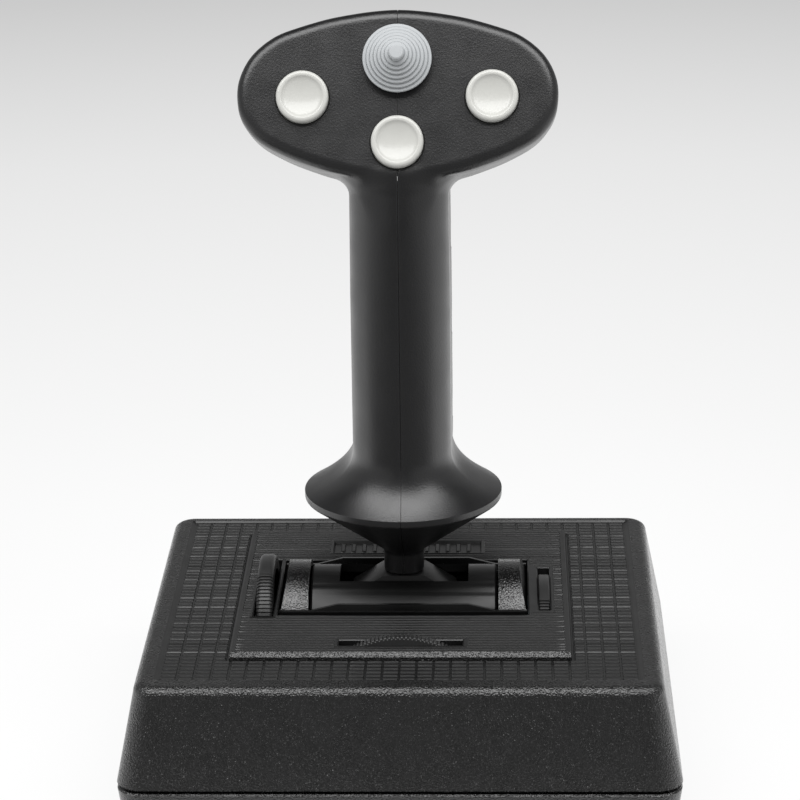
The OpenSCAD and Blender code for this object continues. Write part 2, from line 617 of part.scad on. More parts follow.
module hat_cap() color([0.62, 0.63, 0.66]) on_face(0, hat_w) difference() {
    union() {
        rotate_extrude() polygon(concat([[0, 1.7], [hat_r, 1.7]],
            [for (k = [0:hat_rings - 1]) let (q = hat_r - k * 1.15, h = 3 + k * 1.1)
                each [[q, h], [q - 0.85, h + 0.15]]],
            [[2.2, 11.2], [1.2, 11.9], [0, 12]]));
        translate([0, 0, -2.4]) cylinder(r = 4, h = 5);
        translate([0, 0, -10]) cylinder(r = 3, h = 8);
        translate([0, 0, -10.2]) cylinder(r = 5.8, h = 1.5);
    }
    translate([0, -9, -hat_pivot_depth]) rotate([-90, 0, 0]) cylinder(r = 1 + snug, h = 18);
}
module hat_pin() color("silver") on_face(0, hat_w)
    translate([0, -7.8, -hat_pivot_depth]) rotate([-90, 0, 0]) cylinder(r = 1, h = 15.6);

// ---- buttons and trigger ----
// Plunger with a retaining flange and a dished top inside a rounded rim
module push_button(spot) color([0.92, 0.91, 0.86]) on_face(spot[0], spot[1]) rotate_extrude()
    polygon(concat([[0, -6.5], [3, -6.5], [3, -4.6], [button_r + 0.9, -4.6], [button_r + 0.9, -3],
            [button_r, -3], [button_r, button_rise - 0.9]],
        [for (a = [15:15:90]) [button_r - 0.9 + 0.9 * cos(a), button_rise - 0.9 + 0.9 * sin(a)]],
        [for (t = [0.1:0.15:1]) let (q = (button_r - 1.2) * (1 - t))
            [q, button_rise - 0.1 - 1.2 * (1 - pow(q / (button_r - 1.2), 2))]],
        [[0, button_rise - 1.3]]));
module left_button() push_button(button_spots[0]);
module right_button() push_button(button_spots[1]);
module lower_button() push_button(button_spots[2]);
module trigger_profile()
    polygon([[18, 203], [19, 206.4], [22, 205.5], [26.5, 200.5], [27.6, 192], [29.4, 184],
        [33.5, 179], [30.5, 177.5], [26.2, 182.5], [24, 188], [17.4, 188.5], [17.4, 191],
        [22, 193], [20, 198.4], [18, 199.1]]);
module trigger() color([0.09, 0.09, 0.09]) difference() {
    union() {
        translate([-5, 0, 0]) rotate([90, 0, 90]) linear_extrude(10) trigger_profile();
        rod_x(4.2, [-5, 5], trigger_y, trigger_z);
    }
    rod_x(1.5 + fit, [-6, 6], trigger_y, trigger_z);
    rod_x(4.5, [-2, 2], trigger_y, trigger_z);
}

// ---- wheels ----
module throttle_wheel() color([0.08, 0.08, 0.085]) difference() {
    translate([throttle_x[0], axis_y, axis_z]) rotate([90, 0, 90])
        linear_extrude(throttle_x[1] - throttle_x[0]) toothed_rim(throttle_r, 180, throttle_smooth);
    rod_x(3 + snug, shift(throttle_x[0], [-1, 7]), axis_y, axis_z);
    rod_x(19, shift(throttle_x[0], [-1, throttle_web]), axis_y, axis_z);
    rod_x(19, shift(throttle_x[1], [-throttle_web, 1]), axis_y, axis_z);
}
module throttle_shaft() color("silver") {
    rod_x(3, [-59, throttle_x[1] - throttle_web], axis_y, axis_z);
    difference() {
        rod_x(5.5, [-49.3, throttle_x[0] + throttle_web - 0.1], axis_y, axis_z);
        rod_x(2.99, [-50, throttle_x[0] + 2], axis_y, axis_z);
    }
}
module trim_sector(smooth) linear_extrude(trim_w) {
    toothed_rim(trim_r, 42, smooth);
    circle(r = 6);
}
module pitch_trim_wheel() color([0.10, 0.10, 0.11]) {
    translate([pitch_trim_x[0], pitch_trim_y, trim_z]) rotate([90, 0, 90]) trim_sector(trim_smooth);
    rod_x(3, [pitch_trim_x[1] - 0.1, 56], pitch_trim_y, trim_z);
}
module roll_trim_wheel() color([0.10, 0.10, 0.11]) {
    translate([0, roll_trim_y[1], trim_z]) rotate([90, 0, 0]) trim_sector(0);
    rod_y(3, [-54, roll_trim_y[0] + 0.1], 0, trim_z);
}

// ---- one line per sub-part ----
base_housing();
base_plate();
rubber_feet();
base_screws();
gimbal_frame();
left_bearing_cap();
right_bearing_cap();
frame_screws();
pitch_bushes();
roll_bushes();
pitch_spring();
roll_spring();
pitch_pot();
roll_pot();
throttle_pot();
pitch_trim_pot();
roll_trim_pot();
throttle_bracket();
pitch_trim_bracket();
roll_trim_bracket();
bracket_screws();
circuit_board();
board_components();
board_screws();
strain_relief();
cable();
cable_tie();
plug_shell();
plug_contacts();
plug_screws();
pitch_drum();
pitch_pivots();
roll_bail();
roll_pivots();
stick_shaft();
shaft_hub();
roll_pin();
tail_pin();
grip_left();
grip_right();
grip_screws();
switch_board();
button_switches();
hat_switches();
trigger_switch();
trigger_pin();
trigger_spring();
grip_wiring();
hat_base();
hat_ring();
hat_cap();
hat_pin();
left_button();
right_button();
lower_button();
trigger();
throttle_wheel();
throttle_shaft();
pitch_trim_wheel();
roll_trim_wheel();
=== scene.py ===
"""Looks of the flight joystick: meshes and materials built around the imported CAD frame."""
import json
from math import cos, pi, radians, sin

import bmesh
import bpy
import numpy as np
import openvdb
from mathutils import Matrix, Vector


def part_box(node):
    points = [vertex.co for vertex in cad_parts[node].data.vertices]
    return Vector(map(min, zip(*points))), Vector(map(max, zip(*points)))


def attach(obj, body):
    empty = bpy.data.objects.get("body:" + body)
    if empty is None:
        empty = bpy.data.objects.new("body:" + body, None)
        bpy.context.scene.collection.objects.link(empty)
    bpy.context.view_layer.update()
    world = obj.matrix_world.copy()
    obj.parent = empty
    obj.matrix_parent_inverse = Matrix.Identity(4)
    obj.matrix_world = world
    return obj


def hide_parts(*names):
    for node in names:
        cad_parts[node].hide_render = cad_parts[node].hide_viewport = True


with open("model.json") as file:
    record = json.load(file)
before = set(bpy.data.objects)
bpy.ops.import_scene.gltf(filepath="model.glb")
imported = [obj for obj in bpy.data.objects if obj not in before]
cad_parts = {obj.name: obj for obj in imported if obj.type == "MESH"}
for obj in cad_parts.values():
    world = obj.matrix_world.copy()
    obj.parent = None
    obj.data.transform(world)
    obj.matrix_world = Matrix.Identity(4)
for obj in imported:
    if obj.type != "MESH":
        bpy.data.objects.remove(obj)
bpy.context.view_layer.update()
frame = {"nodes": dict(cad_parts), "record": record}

MM = 0.001                      # scene units are metres, the builders below work in millimetres
SHARP = radians(40)        # shading stays crisp above this angle on cut and rounded pieces
ALONG_X = Matrix.Rotation(pi / 2, 4, "Y")
ALONG_Y = Matrix.Rotation(-pi / 2, 4, "X")
CLOUD_SCALE, SMEAR_SCALE = 55, 130      # patches per metre of the colour and of the roughness
COAT_ROUGHNESS = 0.12


def mm_box(node):
    """Lowest and highest corner of a CAD node in millimetres."""
    low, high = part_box(node)
    return low / MM, high / MM


# ---- sizes taken from the frame ----
housing_high = mm_box("base_housing")[1]
drum_low, drum_high = mm_box("pitch_drum")
cap_high = mm_box("right_bearing_cap")[1]
throttle_low, throttle_high = mm_box("throttle_wheel")
pitch_trim_low, pitch_trim_high = mm_box("pitch_trim_wheel")
grip_low = mm_box("grip_right")[0]
AXIS_Y = (drum_low.y + drum_high.y) / 2
AXIS_Z = drum_high.z - (drum_high.y - drum_low.y) / 2
DRUM_R = (drum_high.y - drum_low.y) / 2
DRUM_HALF = drum_high.x
PLATFORM_Z = housing_high.z
TOP_Z = PLATFORM_Z - 1.8
UNDER_Z = TOP_Z - 2.5
SEAM_Z = mm_box("base_plate")[1].z - 0.2
SIDE_LEAN = 5.5
TOP_HALF_X = housing_high.x - SIDE_LEAN
TOP_HALF_Y = housing_high.y - SIDE_LEAN

# ---- small mesh helpers ----


def new_object(name, mesh, material, angle=35):
    """Links a mesh object with soft shading that stays crisp above the angle."""
    mesh.shade_smooth()
    mesh.set_sharp_from_angle(angle=radians(angle))
    piece = bpy.data.objects.new(name, mesh)
    bpy.context.scene.collection.objects.link(piece)
    if material:
        mesh.materials.append(MATERIAL[material])
    return piece


def mesh_of(name, bm, consistent=True):
    """Writes a bmesh out as a mesh, with its normals made consistent, and frees it."""
    if consistent:
        bmesh.ops.recalc_face_normals(bm, faces=bm.faces)
    mesh = bpy.data.meshes.new(name)
    bm.to_mesh(mesh)
    bm.free()
    return mesh


def bmesh_from(points_mm, faces):
    """A bmesh from millimetre points."""
    mesh = bpy.data.meshes.new("points")
    mesh.from_pydata([tuple(MM * c for c in p) for p in points_mm], [], faces)
    bm = bmesh.new()
    bm.from_mesh(mesh)
    bmesh.ops.recalc_face_normals(bm, faces=bm.faces)
    bpy.data.meshes.remove(mesh)
    return bm


def apply_modifiers(piece):
    """Replaces the piece's mesh by its evaluated mesh and drops the modifiers."""
    depsgraph = bpy.context.evaluated_depsgraph_get()
    done = bpy.data.meshes.new_from_object(piece.evaluated_get(depsgraph), depsgraph=depsgraph)
    piece.modifiers.clear()
    piece.data = done


def bevel(piece, width_mm, segments=3, angle=35):
    """Rounds the edges of a piece that are sharper than the angle."""
    modifier = piece.modifiers.new("rounded_edges", "BEVEL")
    modifier.width = width_mm * MM
    modifier.segments = segments
    modifier.limit_method = "ANGLE"
    modifier.angle_limit = radians(angle)
    apply_modifiers(piece)
    piece.data.shade_smooth()
    piece.data.set_sharp_from_angle(angle=SHARP)


def prism(name, outline, low, high, axis, material=None):
    """Outline in the two axes after `axis` (x: y,z; y: z,x; z: x,y), raised from low to high."""
    count = len(outline)
    order = {"x": (0, 1, 2), "y": (1, 2, 0), "z": (2, 0, 1)}[axis]
    points = []
    for height in (low, high):
        for a, b in outline:
            spot = [0, 0, 0]
            spot[order[0]], spot[order[1]], spot[order[2]] = height, a, b
            points.append(spot)
    faces = [(i, (i + 1) % count, count + (i + 1) % count, count + i) for i in range(count)]
    faces += [tuple(range(count)), tuple(range(count, 2 * count))]
    return new_object(name, mesh_of(name, bmesh_from(points, faces), False), material)


def lathe(name, profile, material, place=None, segments=96, angle=35):
    """Turns a (radius, height) profile about local Z and puts it in place."""
    points, faces, count = [], [], len(profile)
    for s in range(segments):
        a = 2 * pi * s / segments
        points += [(r * cos(a), r * sin(a), h) for r, h in profile]
        t = (s + 1) % segments
        faces += [(s * count + i, t * count + i, t * count + i + 1, s * count + i + 1)
                  for i in range(count - 1)]
    bm = bmesh_from(points, faces)
    bmesh.ops.remove_doubles(bm, verts=bm.verts, dist=1e-7)
    mesh = mesh_of(name, bm)
    if place:
        mesh.transform(place)
    return new_object(name, mesh, material, angle)


def arc(centre, radius, start, end, steps):
    """Points on an arc, angles in degrees."""
    angles = [radians(start + (end - start) * i / steps) for i in range(steps + 1)]
    return [(centre[0] + radius * cos(a), centre[1] + radius * sin(a)) for a in angles]


def curve_stretch(a, b, c, d, steps):
    """Points of a Catmull-Rom curve from b up to, but not onto, c."""
    a, b, c, d = (np.array(p, float) for p in (a, b, c, d))
    return [0.5 * (2 * b + (c - a) * t + (2 * a - 5 * b + 4 * c - d) * t ** 2
                   + (3 * b - a - 3 * c + d) * t ** 3) for t in (s / steps for s in range(steps))]


def combine(piece, other, operation="DIFFERENCE"):
    """Boolean of two closed pieces; the second one is used up."""
    modifier = piece.modifiers.new("boolean", "BOOLEAN")
    modifier.object = other
    modifier.operation = operation
    modifier.solver = "MANIFOLD"
    apply_modifiers(piece)
    bpy.data.objects.remove(other)


def joined(name, pieces):
    """One object from several, for use as one cutter or one addition."""
    bm = bmesh.new()
    for piece in pieces:
        bm.from_mesh(piece.data)
        bpy.data.objects.remove(piece)
    return new_object(name, mesh_of(name, bm, False), None)


def at(x, y, z, turn=Matrix.Identity(4)):
    """Place of a turned piece whose own axis is local Z."""
    return Matrix.Translation(Vector((x, y, z)) * MM) @ turn


def rod(name, place, radius, low, high, segments=64):
    """Closed cylinder along the place's local Z."""
    return lathe(name, [(0, low), (radius, low), (radius, high), (0, high)], None, place, segments)


def block(name, x, y, z, material=None):
    outline = [(x[0], y[0]), (x[1], y[0]), (x[1], y[1]), (x[0], y[1])]
    return prism(name, outline, z[0], z[1], "z", material)


def shift(middle, span):
    return (middle + span[0], middle + span[1])


def finish_piece(piece, body, node):
    """Sends a finished piece to its body, standing for its CAD node."""
    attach(piece, body)
    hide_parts(node)


# ---- shader helpers ----


def link(tree, source, target):
    tree.links.new(source, target)


def number(tree, operation, *values):
    """Math node; each value may be a socket or a plain number."""
    node = add_node(tree, "Math")
    node.operation = operation
    for socket, value in zip(node.inputs, values):
        if isinstance(value, (int, float)):
            socket.default_value = value
        else:
            link(tree, value, socket)
    return node.outputs["Value"]


def mapped(tree, value, low, high, to_low, to_high):
    """Value rescaled from one span to another and held inside it."""
    bounds = {"From Min": low, "From Max": high, "To Min": to_low, "To Max": to_high}
    node = add_node(tree, "MapRange", **bounds)
    link(tree, value, node.inputs["Value"])
    return node.outputs["Result"]


def add_node(tree, kind, **values):
    """New shader node with plain values on its inputs."""
    node = tree.nodes.new("ShaderNode" + kind)
    for name, value in values.items():
        node.inputs[name].default_value = value
    return node


def noise_node(tree, place, scale, detail):
    noise = add_node(tree, "TexNoise", Scale=scale, Detail=detail)
    link(tree, place, noise.inputs["Vector"])
    return noise.outputs["Fac"]


def pebbles(tree, place, size_mm):
    """Leather-like moulding grain: soft cells broken up by noise."""
    cells = add_node(tree, "TexVoronoi", Scale=1 / (size_mm * MM))
    cells.feature = "SMOOTH_F1"
    cells.inputs["Smoothness"].default_value = 0.6
    link(tree, place, cells.inputs["Vector"])
    return number(tree, "ADD", cells.outputs["Distance"],
                  noise_node(tree, place, 0.8 / (size_mm * MM), 2))


def fine_scratches(tree, place, normal, depth):
    """Long thin marks from machining or wear, on top of the given normal."""
    stretch = add_node(tree, "Mapping", Scale=(900, 60, 2500))
    link(tree, place, stretch.inputs["Vector"])
    lines = noise_node(tree, stretch.outputs["Vector"], 1, 2)
    bump = add_node(tree, "Bump", Distance=depth * MM)
    link(tree, lines, bump.inputs["Height"])
    link(tree, normal, bump.inputs["Normal"])
    return bump.outputs["Normal"]


# ---- materials ----


def grey(value):
    return (value, value, value)


def plastic(name, colour, rough=0.45, grain_mm=0.5, grain=0.15, cells=False, mottle=0.12,
            rough_spread=0.08, specular=0.5, coat=0.0, metal=0.0, scratch=0.0):
    """Surface with mottled colour, uneven roughness and fine grain or pebble bump."""
    material = bpy.data.materials.new(name)
    material.use_nodes = True
    tree = material.node_tree
    shader = tree.nodes["Principled BSDF"]
    for socket, value in (("Metallic", metal), ("Specular IOR Level", specular),
                          ("Coat Weight", coat), ("Coat Roughness", COAT_ROUGHNESS)):
        shader.inputs[socket].default_value = value
    place = add_node(tree, "TexCoord").outputs["Object"]
    tint = add_node(tree, "Mix")
    tint.data_type = "RGBA"
    tint.inputs["A"].default_value = (*[c * (1 - mottle) for c in colour], 1)
    tint.inputs["B"].default_value = (*[c * (1 + mottle) for c in colour], 1)
    link(tree, noise_node(tree, place, CLOUD_SCALE, 4), tint.inputs["Factor"])
    link(tree, tint.outputs["Result"], shader.inputs["Base Color"])
    smears = mapped(tree, noise_node(tree, place, SMEAR_SCALE, 5), 0, 1,
                    rough - rough_spread, rough + rough_spread)
    link(tree, smears, shader.inputs["Roughness"])
    height = pebbles(tree, place, grain_mm) if cells else noise_node(tree, place, 1 / (grain_mm * MM), 3)
    bump = add_node(tree, "Bump", Strength=1.0, Distance=grain * MM)
    link(tree, height, bump.inputs["Height"])
    normal = bump.outputs["Normal"]
    if scratch:
        normal = fine_scratches(tree, place, normal, scratch)
    link(tree, normal, shader.inputs["Normal"])
    return material


def make_materials():
    """Colour, roughness, grain size and grain depth (mm) of every surface."""
    return {
        "base": plastic("pebble_black", grey(0.004), 0.28, 0.5, 0.21, cells=True, specular=0.85),
        "top": plastic("ribbed_black", grey(0.005), 0.38, 0.5, 0.035, specular=0.65),
        "grip": plastic("grip_charcoal", (0.0045, 0.0045, 0.005), 0.36, 0.5, 0.025, cells=True,
                        specular=0.8),
        "cap": plastic("cap_black", grey(0.003), 0.20, 0.45, 0.12, cells=True, specular=0.9),
        "gloss": plastic("collar_gloss", grey(0.003), 0.18, 0.6, 0.01, specular=0.8),
        "drum": plastic("drum_satin", grey(0.005), 0.40, 0.9, 0.015),
        "hub": plastic("hub_black", grey(0.008), 0.42, 0.6, 0.03, specular=0.7),
        "wheel": plastic("wheel_black", grey(0.020), 0.42, 0.5, 0.03, specular=0.6),
        "white": plastic("button_white", (0.48, 0.48, 0.455), 0.24, 1.5, 0.006, mottle=0.015,
                         rough_spread=0.05),
        "hat": plastic("hat_grey", (0.385, 0.40, 0.41), 0.42, 0.8, 0.015, mottle=0.03),
        "rubber": plastic("rubber_black", grey(0.010), 0.70, 0.25, 0.03, specular=0.3),
        "cable": plastic("cable_sheath", (0.012, 0.012, 0.013), 0.5, 0.3, 0.02),
        "steel": plastic("plated_steel", (0.62, 0.62, 0.64), 0.28, 0.4, 0.01, metal=1, mottle=0.05,
                         scratch=0.01),
        "bronze": plastic("sintered_bronze", (0.48, 0.29, 0.13), 0.45, 0.2, 0.02, metal=1),
        "sheet": plastic("folded_sheet", (0.60, 0.61, 0.62), 0.36, 0.5, 0.01, metal=1, scratch=0.02),
        "can": plastic("pot_can", (0.05, 0.08, 0.10), 0.35, 0.4, 0.02),
        "board": plastic("board_green", (0.010, 0.085, 0.035), 0.3, 0.7, 0.01, coat=0.3),
        "chip": plastic("chip_black", grey(0.02), 0.5, 0.2, 0.02),
        "wire": plastic("wire_red", (0.30, 0.03, 0.02), 0.45, 0.4, 0.01),
    }


MATERIAL = make_materials()

# ---- base housing: ribbed top as one relief grid, then fillet, skirt and underside ----
FIELD = (-TOP_HALF_X + 6, TOP_HALF_X - 6, -TOP_HALF_Y + 7.4, TOP_HALF_Y - 4.8)
PLATFORM = (-52.5, 52.5, -50.0, 56.0)
COLUMNS, ROWS = 28, 51
COLUMN_HALF = FIELD[1] - 1.7
COLUMN_PITCH = 2 * COLUMN_HALF / COLUMNS
ROW_LOW, ROW_HIGH = FIELD[2] + 0.9, FIELD[3] - 0.9
ROW_PITCH = (ROW_HIGH - ROW_LOW) / ROWS
RIB_PITCH = 2.0
RIBS = (-50.6, 50.6, -48.6, 54.6)
FIELD_SINK = 0.55
CELL_RISE = 0.45              # height of the raised cells over the field
MOAT_DEPTH = 0.3              # narrow groove round the platform
RIB_DEPTH = 0.38              # grooves between the platform's ribs
RIM_SINK = 0.22               # softened rim round each opening
EDGE_ROUND = 1.7              # rounding of the platform's front and back edges
HOLES = {
    "gimbal": (-39.5, 39.5, -19.1, 27.7),
    "throttle": (-47.1, -40.7, -20.0, 28.0),
    "pitch_trim": (42.7, 46.5, -15.4, 20.5),
    "roll_trim": (-19.1, 19.1, -43.5, -39.3),
}
SMOOTH_PADS = [(38.0, 47.6, -17.4, 22.5), (-20.4, 20.4, -44.3, -38.5), (-47.9, -39.9, -20.4, 28.4),
               (-40.3, 40.3, -19.7, 28.3), (-25.3, 25.3, 33.7, 45.3)]
PLATE = (-24.5, 24.5, 34.0, 45.0)
PLATE_DEPTH, BAR_RISE, PLATE_BARS = 0.9, 0.6, 13
BAR_PITCH = (PLATE[1] - PLATE[0] - 4) / PLATE_BARS


def ramp(distance, width):
    return np.clip(distance / width, 0, 1)


def box_mask(x, y, box, width_x, width_y=None):
    """1 well inside the box, 0 outside, with a slope of the given width along its edge."""
    width_y = width_y or width_x
    across = np.minimum(ramp(x - box[0], width_x), ramp(box[1] - x, width_x))
    along = np.minimum(ramp(y - box[2], width_y), ramp(box[3] - y, width_y))
    return np.minimum(across, along)


def grow(box, by):
    return (box[0] - by, box[1] + by, box[2] - by, box[3] + by)


def ridge(position, start, pitch, low, high, slope):
    """Repeating ridge: 1 on top, 0 in the groove."""
    t = np.mod(position - start, pitch)
    return np.minimum(ramp(t - low, slope), ramp(high - t, slope))


def top_height(x, y):
    """Height of the housing's top over the table at each point."""
    field = box_mask(x, y, FIELD, 1.3, 0.5)
    z = TOP_Z - FIELD_SINK * field
    groove = ridge(x, -COLUMN_HALF, COLUMN_PITCH, 0.25, COLUMN_PITCH - 0.25, 0.2)
    bar = ridge(y, ROW_LOW, ROW_PITCH, 0.15, ROW_PITCH - 1.05, 0.3)
    inside = box_mask(x, y, (-COLUMN_HALF, COLUMN_HALF, ROW_LOW, ROW_HIGH), 0.05)
    outside = 1 - box_mask(x, y, grow(PLATFORM, 1.1), 0.2)
    z = z + CELL_RISE * groove * bar * inside * outside
    z = z - MOAT_DEPTH * box_mask(x, y, grow(PLATFORM, 0.7), 0.15)
    rise = box_mask(x, y, PLATFORM, 0.3, 0.2)
    back = 1 - np.minimum(ramp(y - PLATFORM[2], EDGE_ROUND), ramp(PLATFORM[3] - y, EDGE_ROUND))
    side = 1 - np.minimum(ramp(x - PLATFORM[0], 0.8), ramp(PLATFORM[1] - x, 0.8))
    shoulder = 1.5 * back ** 1.4 + 0.35 * side ** 2
    z = z * (1 - rise) + (PLATFORM_Z - shoulder) * rise
    ribbed = box_mask(x, y, RIBS, 0.3)
    for pad in SMOOTH_PADS:
        ribbed = ribbed * (1 - box_mask(x, y, grow(pad, 0.1), 0.1))
    rib = ridge(y, RIBS[2], RIB_PITCH, 0.1, 1.15, 0.25)
    z = z - RIB_DEPTH * ribbed * (1 - rib)
    z = z - PLATE_DEPTH * box_mask(x, y, PLATE, 0.5)
    mark = ridge(x, PLATE[0] + 2, BAR_PITCH, 0.5, BAR_PITCH - 1.4, 0.3)
    mark_box = (PLATE[0] + 2, PLATE[1] - 2, PLATE[2] + 2.2, PLATE[3] - 2.2)
    z = z + BAR_RISE * mark * box_mask(x, y, mark_box, 0.3)
    for hole in HOLES.values():
        z = z - RIM_SINK * box_mask(x, y, grow(hole, 0.35), 0.3)
    return z


def grid_lines(axis):
    """Where the relief grid needs a line, along X (axis 0) or Y (axis 1); marks hold insets."""
    a, b = 2 * axis, 2 * axis + 1
    lines = [FIELD[a], FIELD[b]]
    marks = [(FIELD, (0.5, 1.3)),
             (PLATFORM, (-1.1, -0.9, -0.7, -0.55, 0, 0.2, 0.3, 0.45, 0.65, 0.8, 1.0, 1.3, 1.7)),
             (PLATE, (-1.0, -0.6, 0, 0.3, 0.5, 2.0, 2.2, 2.5)), (RIBS, (0, 0.3))]
    marks += [(hole, (-0.35, -0.05, 0)) for hole in HOLES.values()]
    marks += [(pad, (-0.1, 0)) for pad in SMOOTH_PADS]
    for box, insets in marks:
        lines += [box[a] + inset for inset in insets] + [box[b] - inset for inset in insets]
    if axis == 0:
        for k in range(COLUMNS + 1):
            lines += [-COLUMN_HALF + k * COLUMN_PITCH + d for d in (-0.45, -0.25, 0.25, 0.45)]
        for k in range(PLATE_BARS):
            start = PLATE[0] + 2 + k * BAR_PITCH
            lines += [start + d for d in (0.5, 0.8, BAR_PITCH - 1.7, BAR_PITCH - 1.4)]
    else:
        for k in range(ROWS):
            lines += [ROW_LOW + k * ROW_PITCH + d for d in (0.15, 0.45, ROW_PITCH - 1.35, ROW_PITCH - 1.05)]
        for k in range(int((RIBS[3] - RIBS[2]) / RIB_PITCH) + 1):
            lines += [RIBS[2] + k * RIB_PITCH + d for d in (0.1, 0.35, 0.9, 1.15)]
    lines = np.array(sorted(v for v in lines if FIELD[a] <= v <= FIELD[b]))
    keep = [lines[0]]
    for value in lines[1:]:
        if value - keep[-1] > 0.04:
            keep.append(value)
    keep[-1] = lines[-1]
    keep = np.array(keep)
    for value in [hole[i] for hole in HOLES.values() for i in (a, b)]:
        keep[np.argmin(abs(keep - value))] = value
    return keep


def relief_grid(bm):
    """Adds the ribbed field and platform, with the openings left out."""
    xs, ys = grid_lines(0), grid_lines(1)
    gx, gy = np.meshgrid(xs, ys, indexing="ij")
    gz = top_height(gx, gy)
    mid_x = (gx[1:, 1:] + gx[:-1, :-1]) / 2
    mid_y = (gy[1:, 1:] + gy[:-1, :-1]) / 2
    solid = np.ones(mid_x.shape, bool)
    for h in HOLES.values():
        solid &= ~((mid_x > h[0]) & (mid_x < h[1]) & (mid_y > h[2]) & (mid_y < h[3]))
    corners = {}

    def corner(i, j):
        if (i, j) not in corners:
            corners[i, j] = bm.verts.new((gx[i, j] * MM, gy[i, j] * MM, gz[i, j] * MM))
        return corners[i, j]

    for i, j in zip(*np.nonzero(solid)):
        face = bm.faces.new((corner(i, j), corner(i + 1, j), corner(i + 1, j + 1), corner(i, j + 1)))
        near_edge = gy[i, j] < PLATFORM[2] + EDGE_ROUND and abs(gx[i, j]) < PLATFORM[1]
        face.material_index = 0 if near_edge and gy[i, j] > PLATFORM[2] - 0.5 else 1


def rounded_ring(bm, half_x, half_y, radius, z, steps=8):
    """A rounded rectangle of vertices at one height, counter-clockwise."""
    ring = []
    for k, (sx, sy) in enumerate(((1, 1), (-1, 1), (-1, -1), (1, -1))):
        centre = (sx * (half_x - radius), sy * (half_y - radius))
        for x, y in arc(centre, radius, 90 * k, 90 * k + 90, steps):
            ring.append(bm.verts.new((x * MM, y * MM, z * MM)))
    return ring


def join_rings(bm, lower, upper):
    for i in range(len(lower)):
        j = (i + 1) % len(lower)
        bm.faces.new((lower[i], lower[j], upper[j], upper[i]))


def ring_edges(bm, ring):
    return [bm.edges.get((ring[i - 1], ring[i])) or bm.edges.new((ring[i - 1], ring[i]))
            for i in range(len(ring))]


def open_edges(bm, box, tolerance=0.02):
    """Boundary edges that lie on the border of a box in X and Y."""
    found = []
    for edge in bm.edges:
        if len(edge.link_faces) != 1:
            continue
        mid = (edge.verts[0].co + edge.verts[1].co) / 2 / MM
        if not (box[0] - tolerance < mid.x < box[1] + tolerance
                and box[2] - tolerance < mid.y < box[3] + tolerance):
            continue
        near = min(abs(mid.x - box[0]), abs(mid.x - box[1]), abs(mid.y - box[2]), abs(mid.y - box[3]))
        if near < tolerance:
            found.append(edge)
    return found


def skirt_rings(bm, inset, top, bottom, corner, fillet):
    """Rings from the flat top over the fillet and down the leaning side, joined by faces."""
    rings = []
    half_x, half_y = TOP_HALF_X - inset, TOP_HALF_Y - inset
    for degrees in range(90, -1, -15):
        a = radians(degrees)
        out = fillet * (1 - cos(a))
        rings.append(rounded_ring(bm, half_x - out, half_y - out, corner - out * 0.8,
                                  top - fillet * (1 - sin(a))))
    drop = top - fillet - bottom
    for share in (0.25, 0.5, 0.75, 1.0):
        lean = SIDE_LEAN * share
        rings.append(rounded_ring(bm, half_x + lean, half_y + lean, corner + 1.5 * share,
                                  top - fillet - drop * share))
    for upper, lower in zip(rings[:-1], rings[1:]):
        join_rings(bm, lower, upper)
    return rings


def make_housing():
    bm = bmesh.new()
    relief_grid(bm)
    border = open_edges(bm, FIELD)
    outer = skirt_rings(bm, 0, TOP_Z, SEAM_Z + 0.9, 6.5, 3.0)
    bmesh.ops.triangle_fill(bm, edges=border + ring_edges(bm, outer[0]), use_beauty=True)
    lip = rounded_ring(bm, housing_high.x - 0.5, housing_high.y - 0.5, 7.6, SEAM_Z + 0.4)
    join_rings(bm, lip, outer[-1])
    inner = skirt_rings(bm, 2.5, UNDER_Z, SEAM_Z + 0.4, 5.0, 1.2)
    join_rings(bm, lip, inner[-1])
    underside = ring_edges(bm, inner[0])
    for hole in HOLES.values():
        walls = bmesh.ops.extrude_edge_only(bm, edges=open_edges(bm, hole))
        for vert in [v for v in walls["geom"] if isinstance(v, bmesh.types.BMVert)]:
            vert.co.z = UNDER_Z * MM
        underside += [e for e in walls["geom"] if isinstance(e, bmesh.types.BMEdge) and e.is_boundary]
    bmesh.ops.triangle_fill(bm, edges=underside, use_beauty=True)
    piece = new_object("base_housing_shell", mesh_of("housing", bm), "base", 32)
    piece.data.materials.append(MATERIAL["top"])
    finish_piece(piece, "base", "base_housing")


make_housing()

# ---- grip: two halves meshed from one distance field ----
FACE_PLACE = Vector((0, -4.6, 211.2))
FACE_TILT = radians(25)
FACE_ROWS = Matrix(((1, 0, 0), (0, sin(FACE_TILT), cos(FACE_TILT)),
                    (0, -cos(FACE_TILT), sin(FACE_TILT))))
HEAD_CORNERS = [(0, 27.5), (17.1, 25.6), (30, 22.2), (38, 18.9), (44.7, 13.0), (48.3, 5.3), (48.4, -2.5),
                (46.4, -8.0), (41.8, -13.2), (34.5, -17.3), (26.6, -20.4), (17.6, -23.0)]
HEAD_DEEP = 27
HEAD_FRONT_ROUND, HEAD_BACK_ROUND = 3.4, 9.0
COLUMN_HALF_W = 15.1
COLUMN_Y = (-17, 22)
COLUMN_TOP = 212
COLUMN_SWELL = 0.28
REST_R = 31.2
REST_Z = (80.3, 82.5)
SWEEP_TOP = 98
STEP = 0.35
NECK_R = 6.35
NECK_Z = (grip_low.z, 64)
WALL = 2.5
CAVITY_LOW = 92
POST_R = 3.6
GRIP_VOXEL = 0.75
BUTTON_SPOTS = {"left_button": (-28.7, 0), "right_button": (28.6, 0), "lower_button": (0, -13.9)}
HAT_SPOT = (0, 11.4)
GRIP_SCREW_Y, GRIP_SCREW_Z = 15, (106, 134, 162)
TRIGGER_POCKET = ((-5.4, 5.4), (14.2, 40), (176, 209))
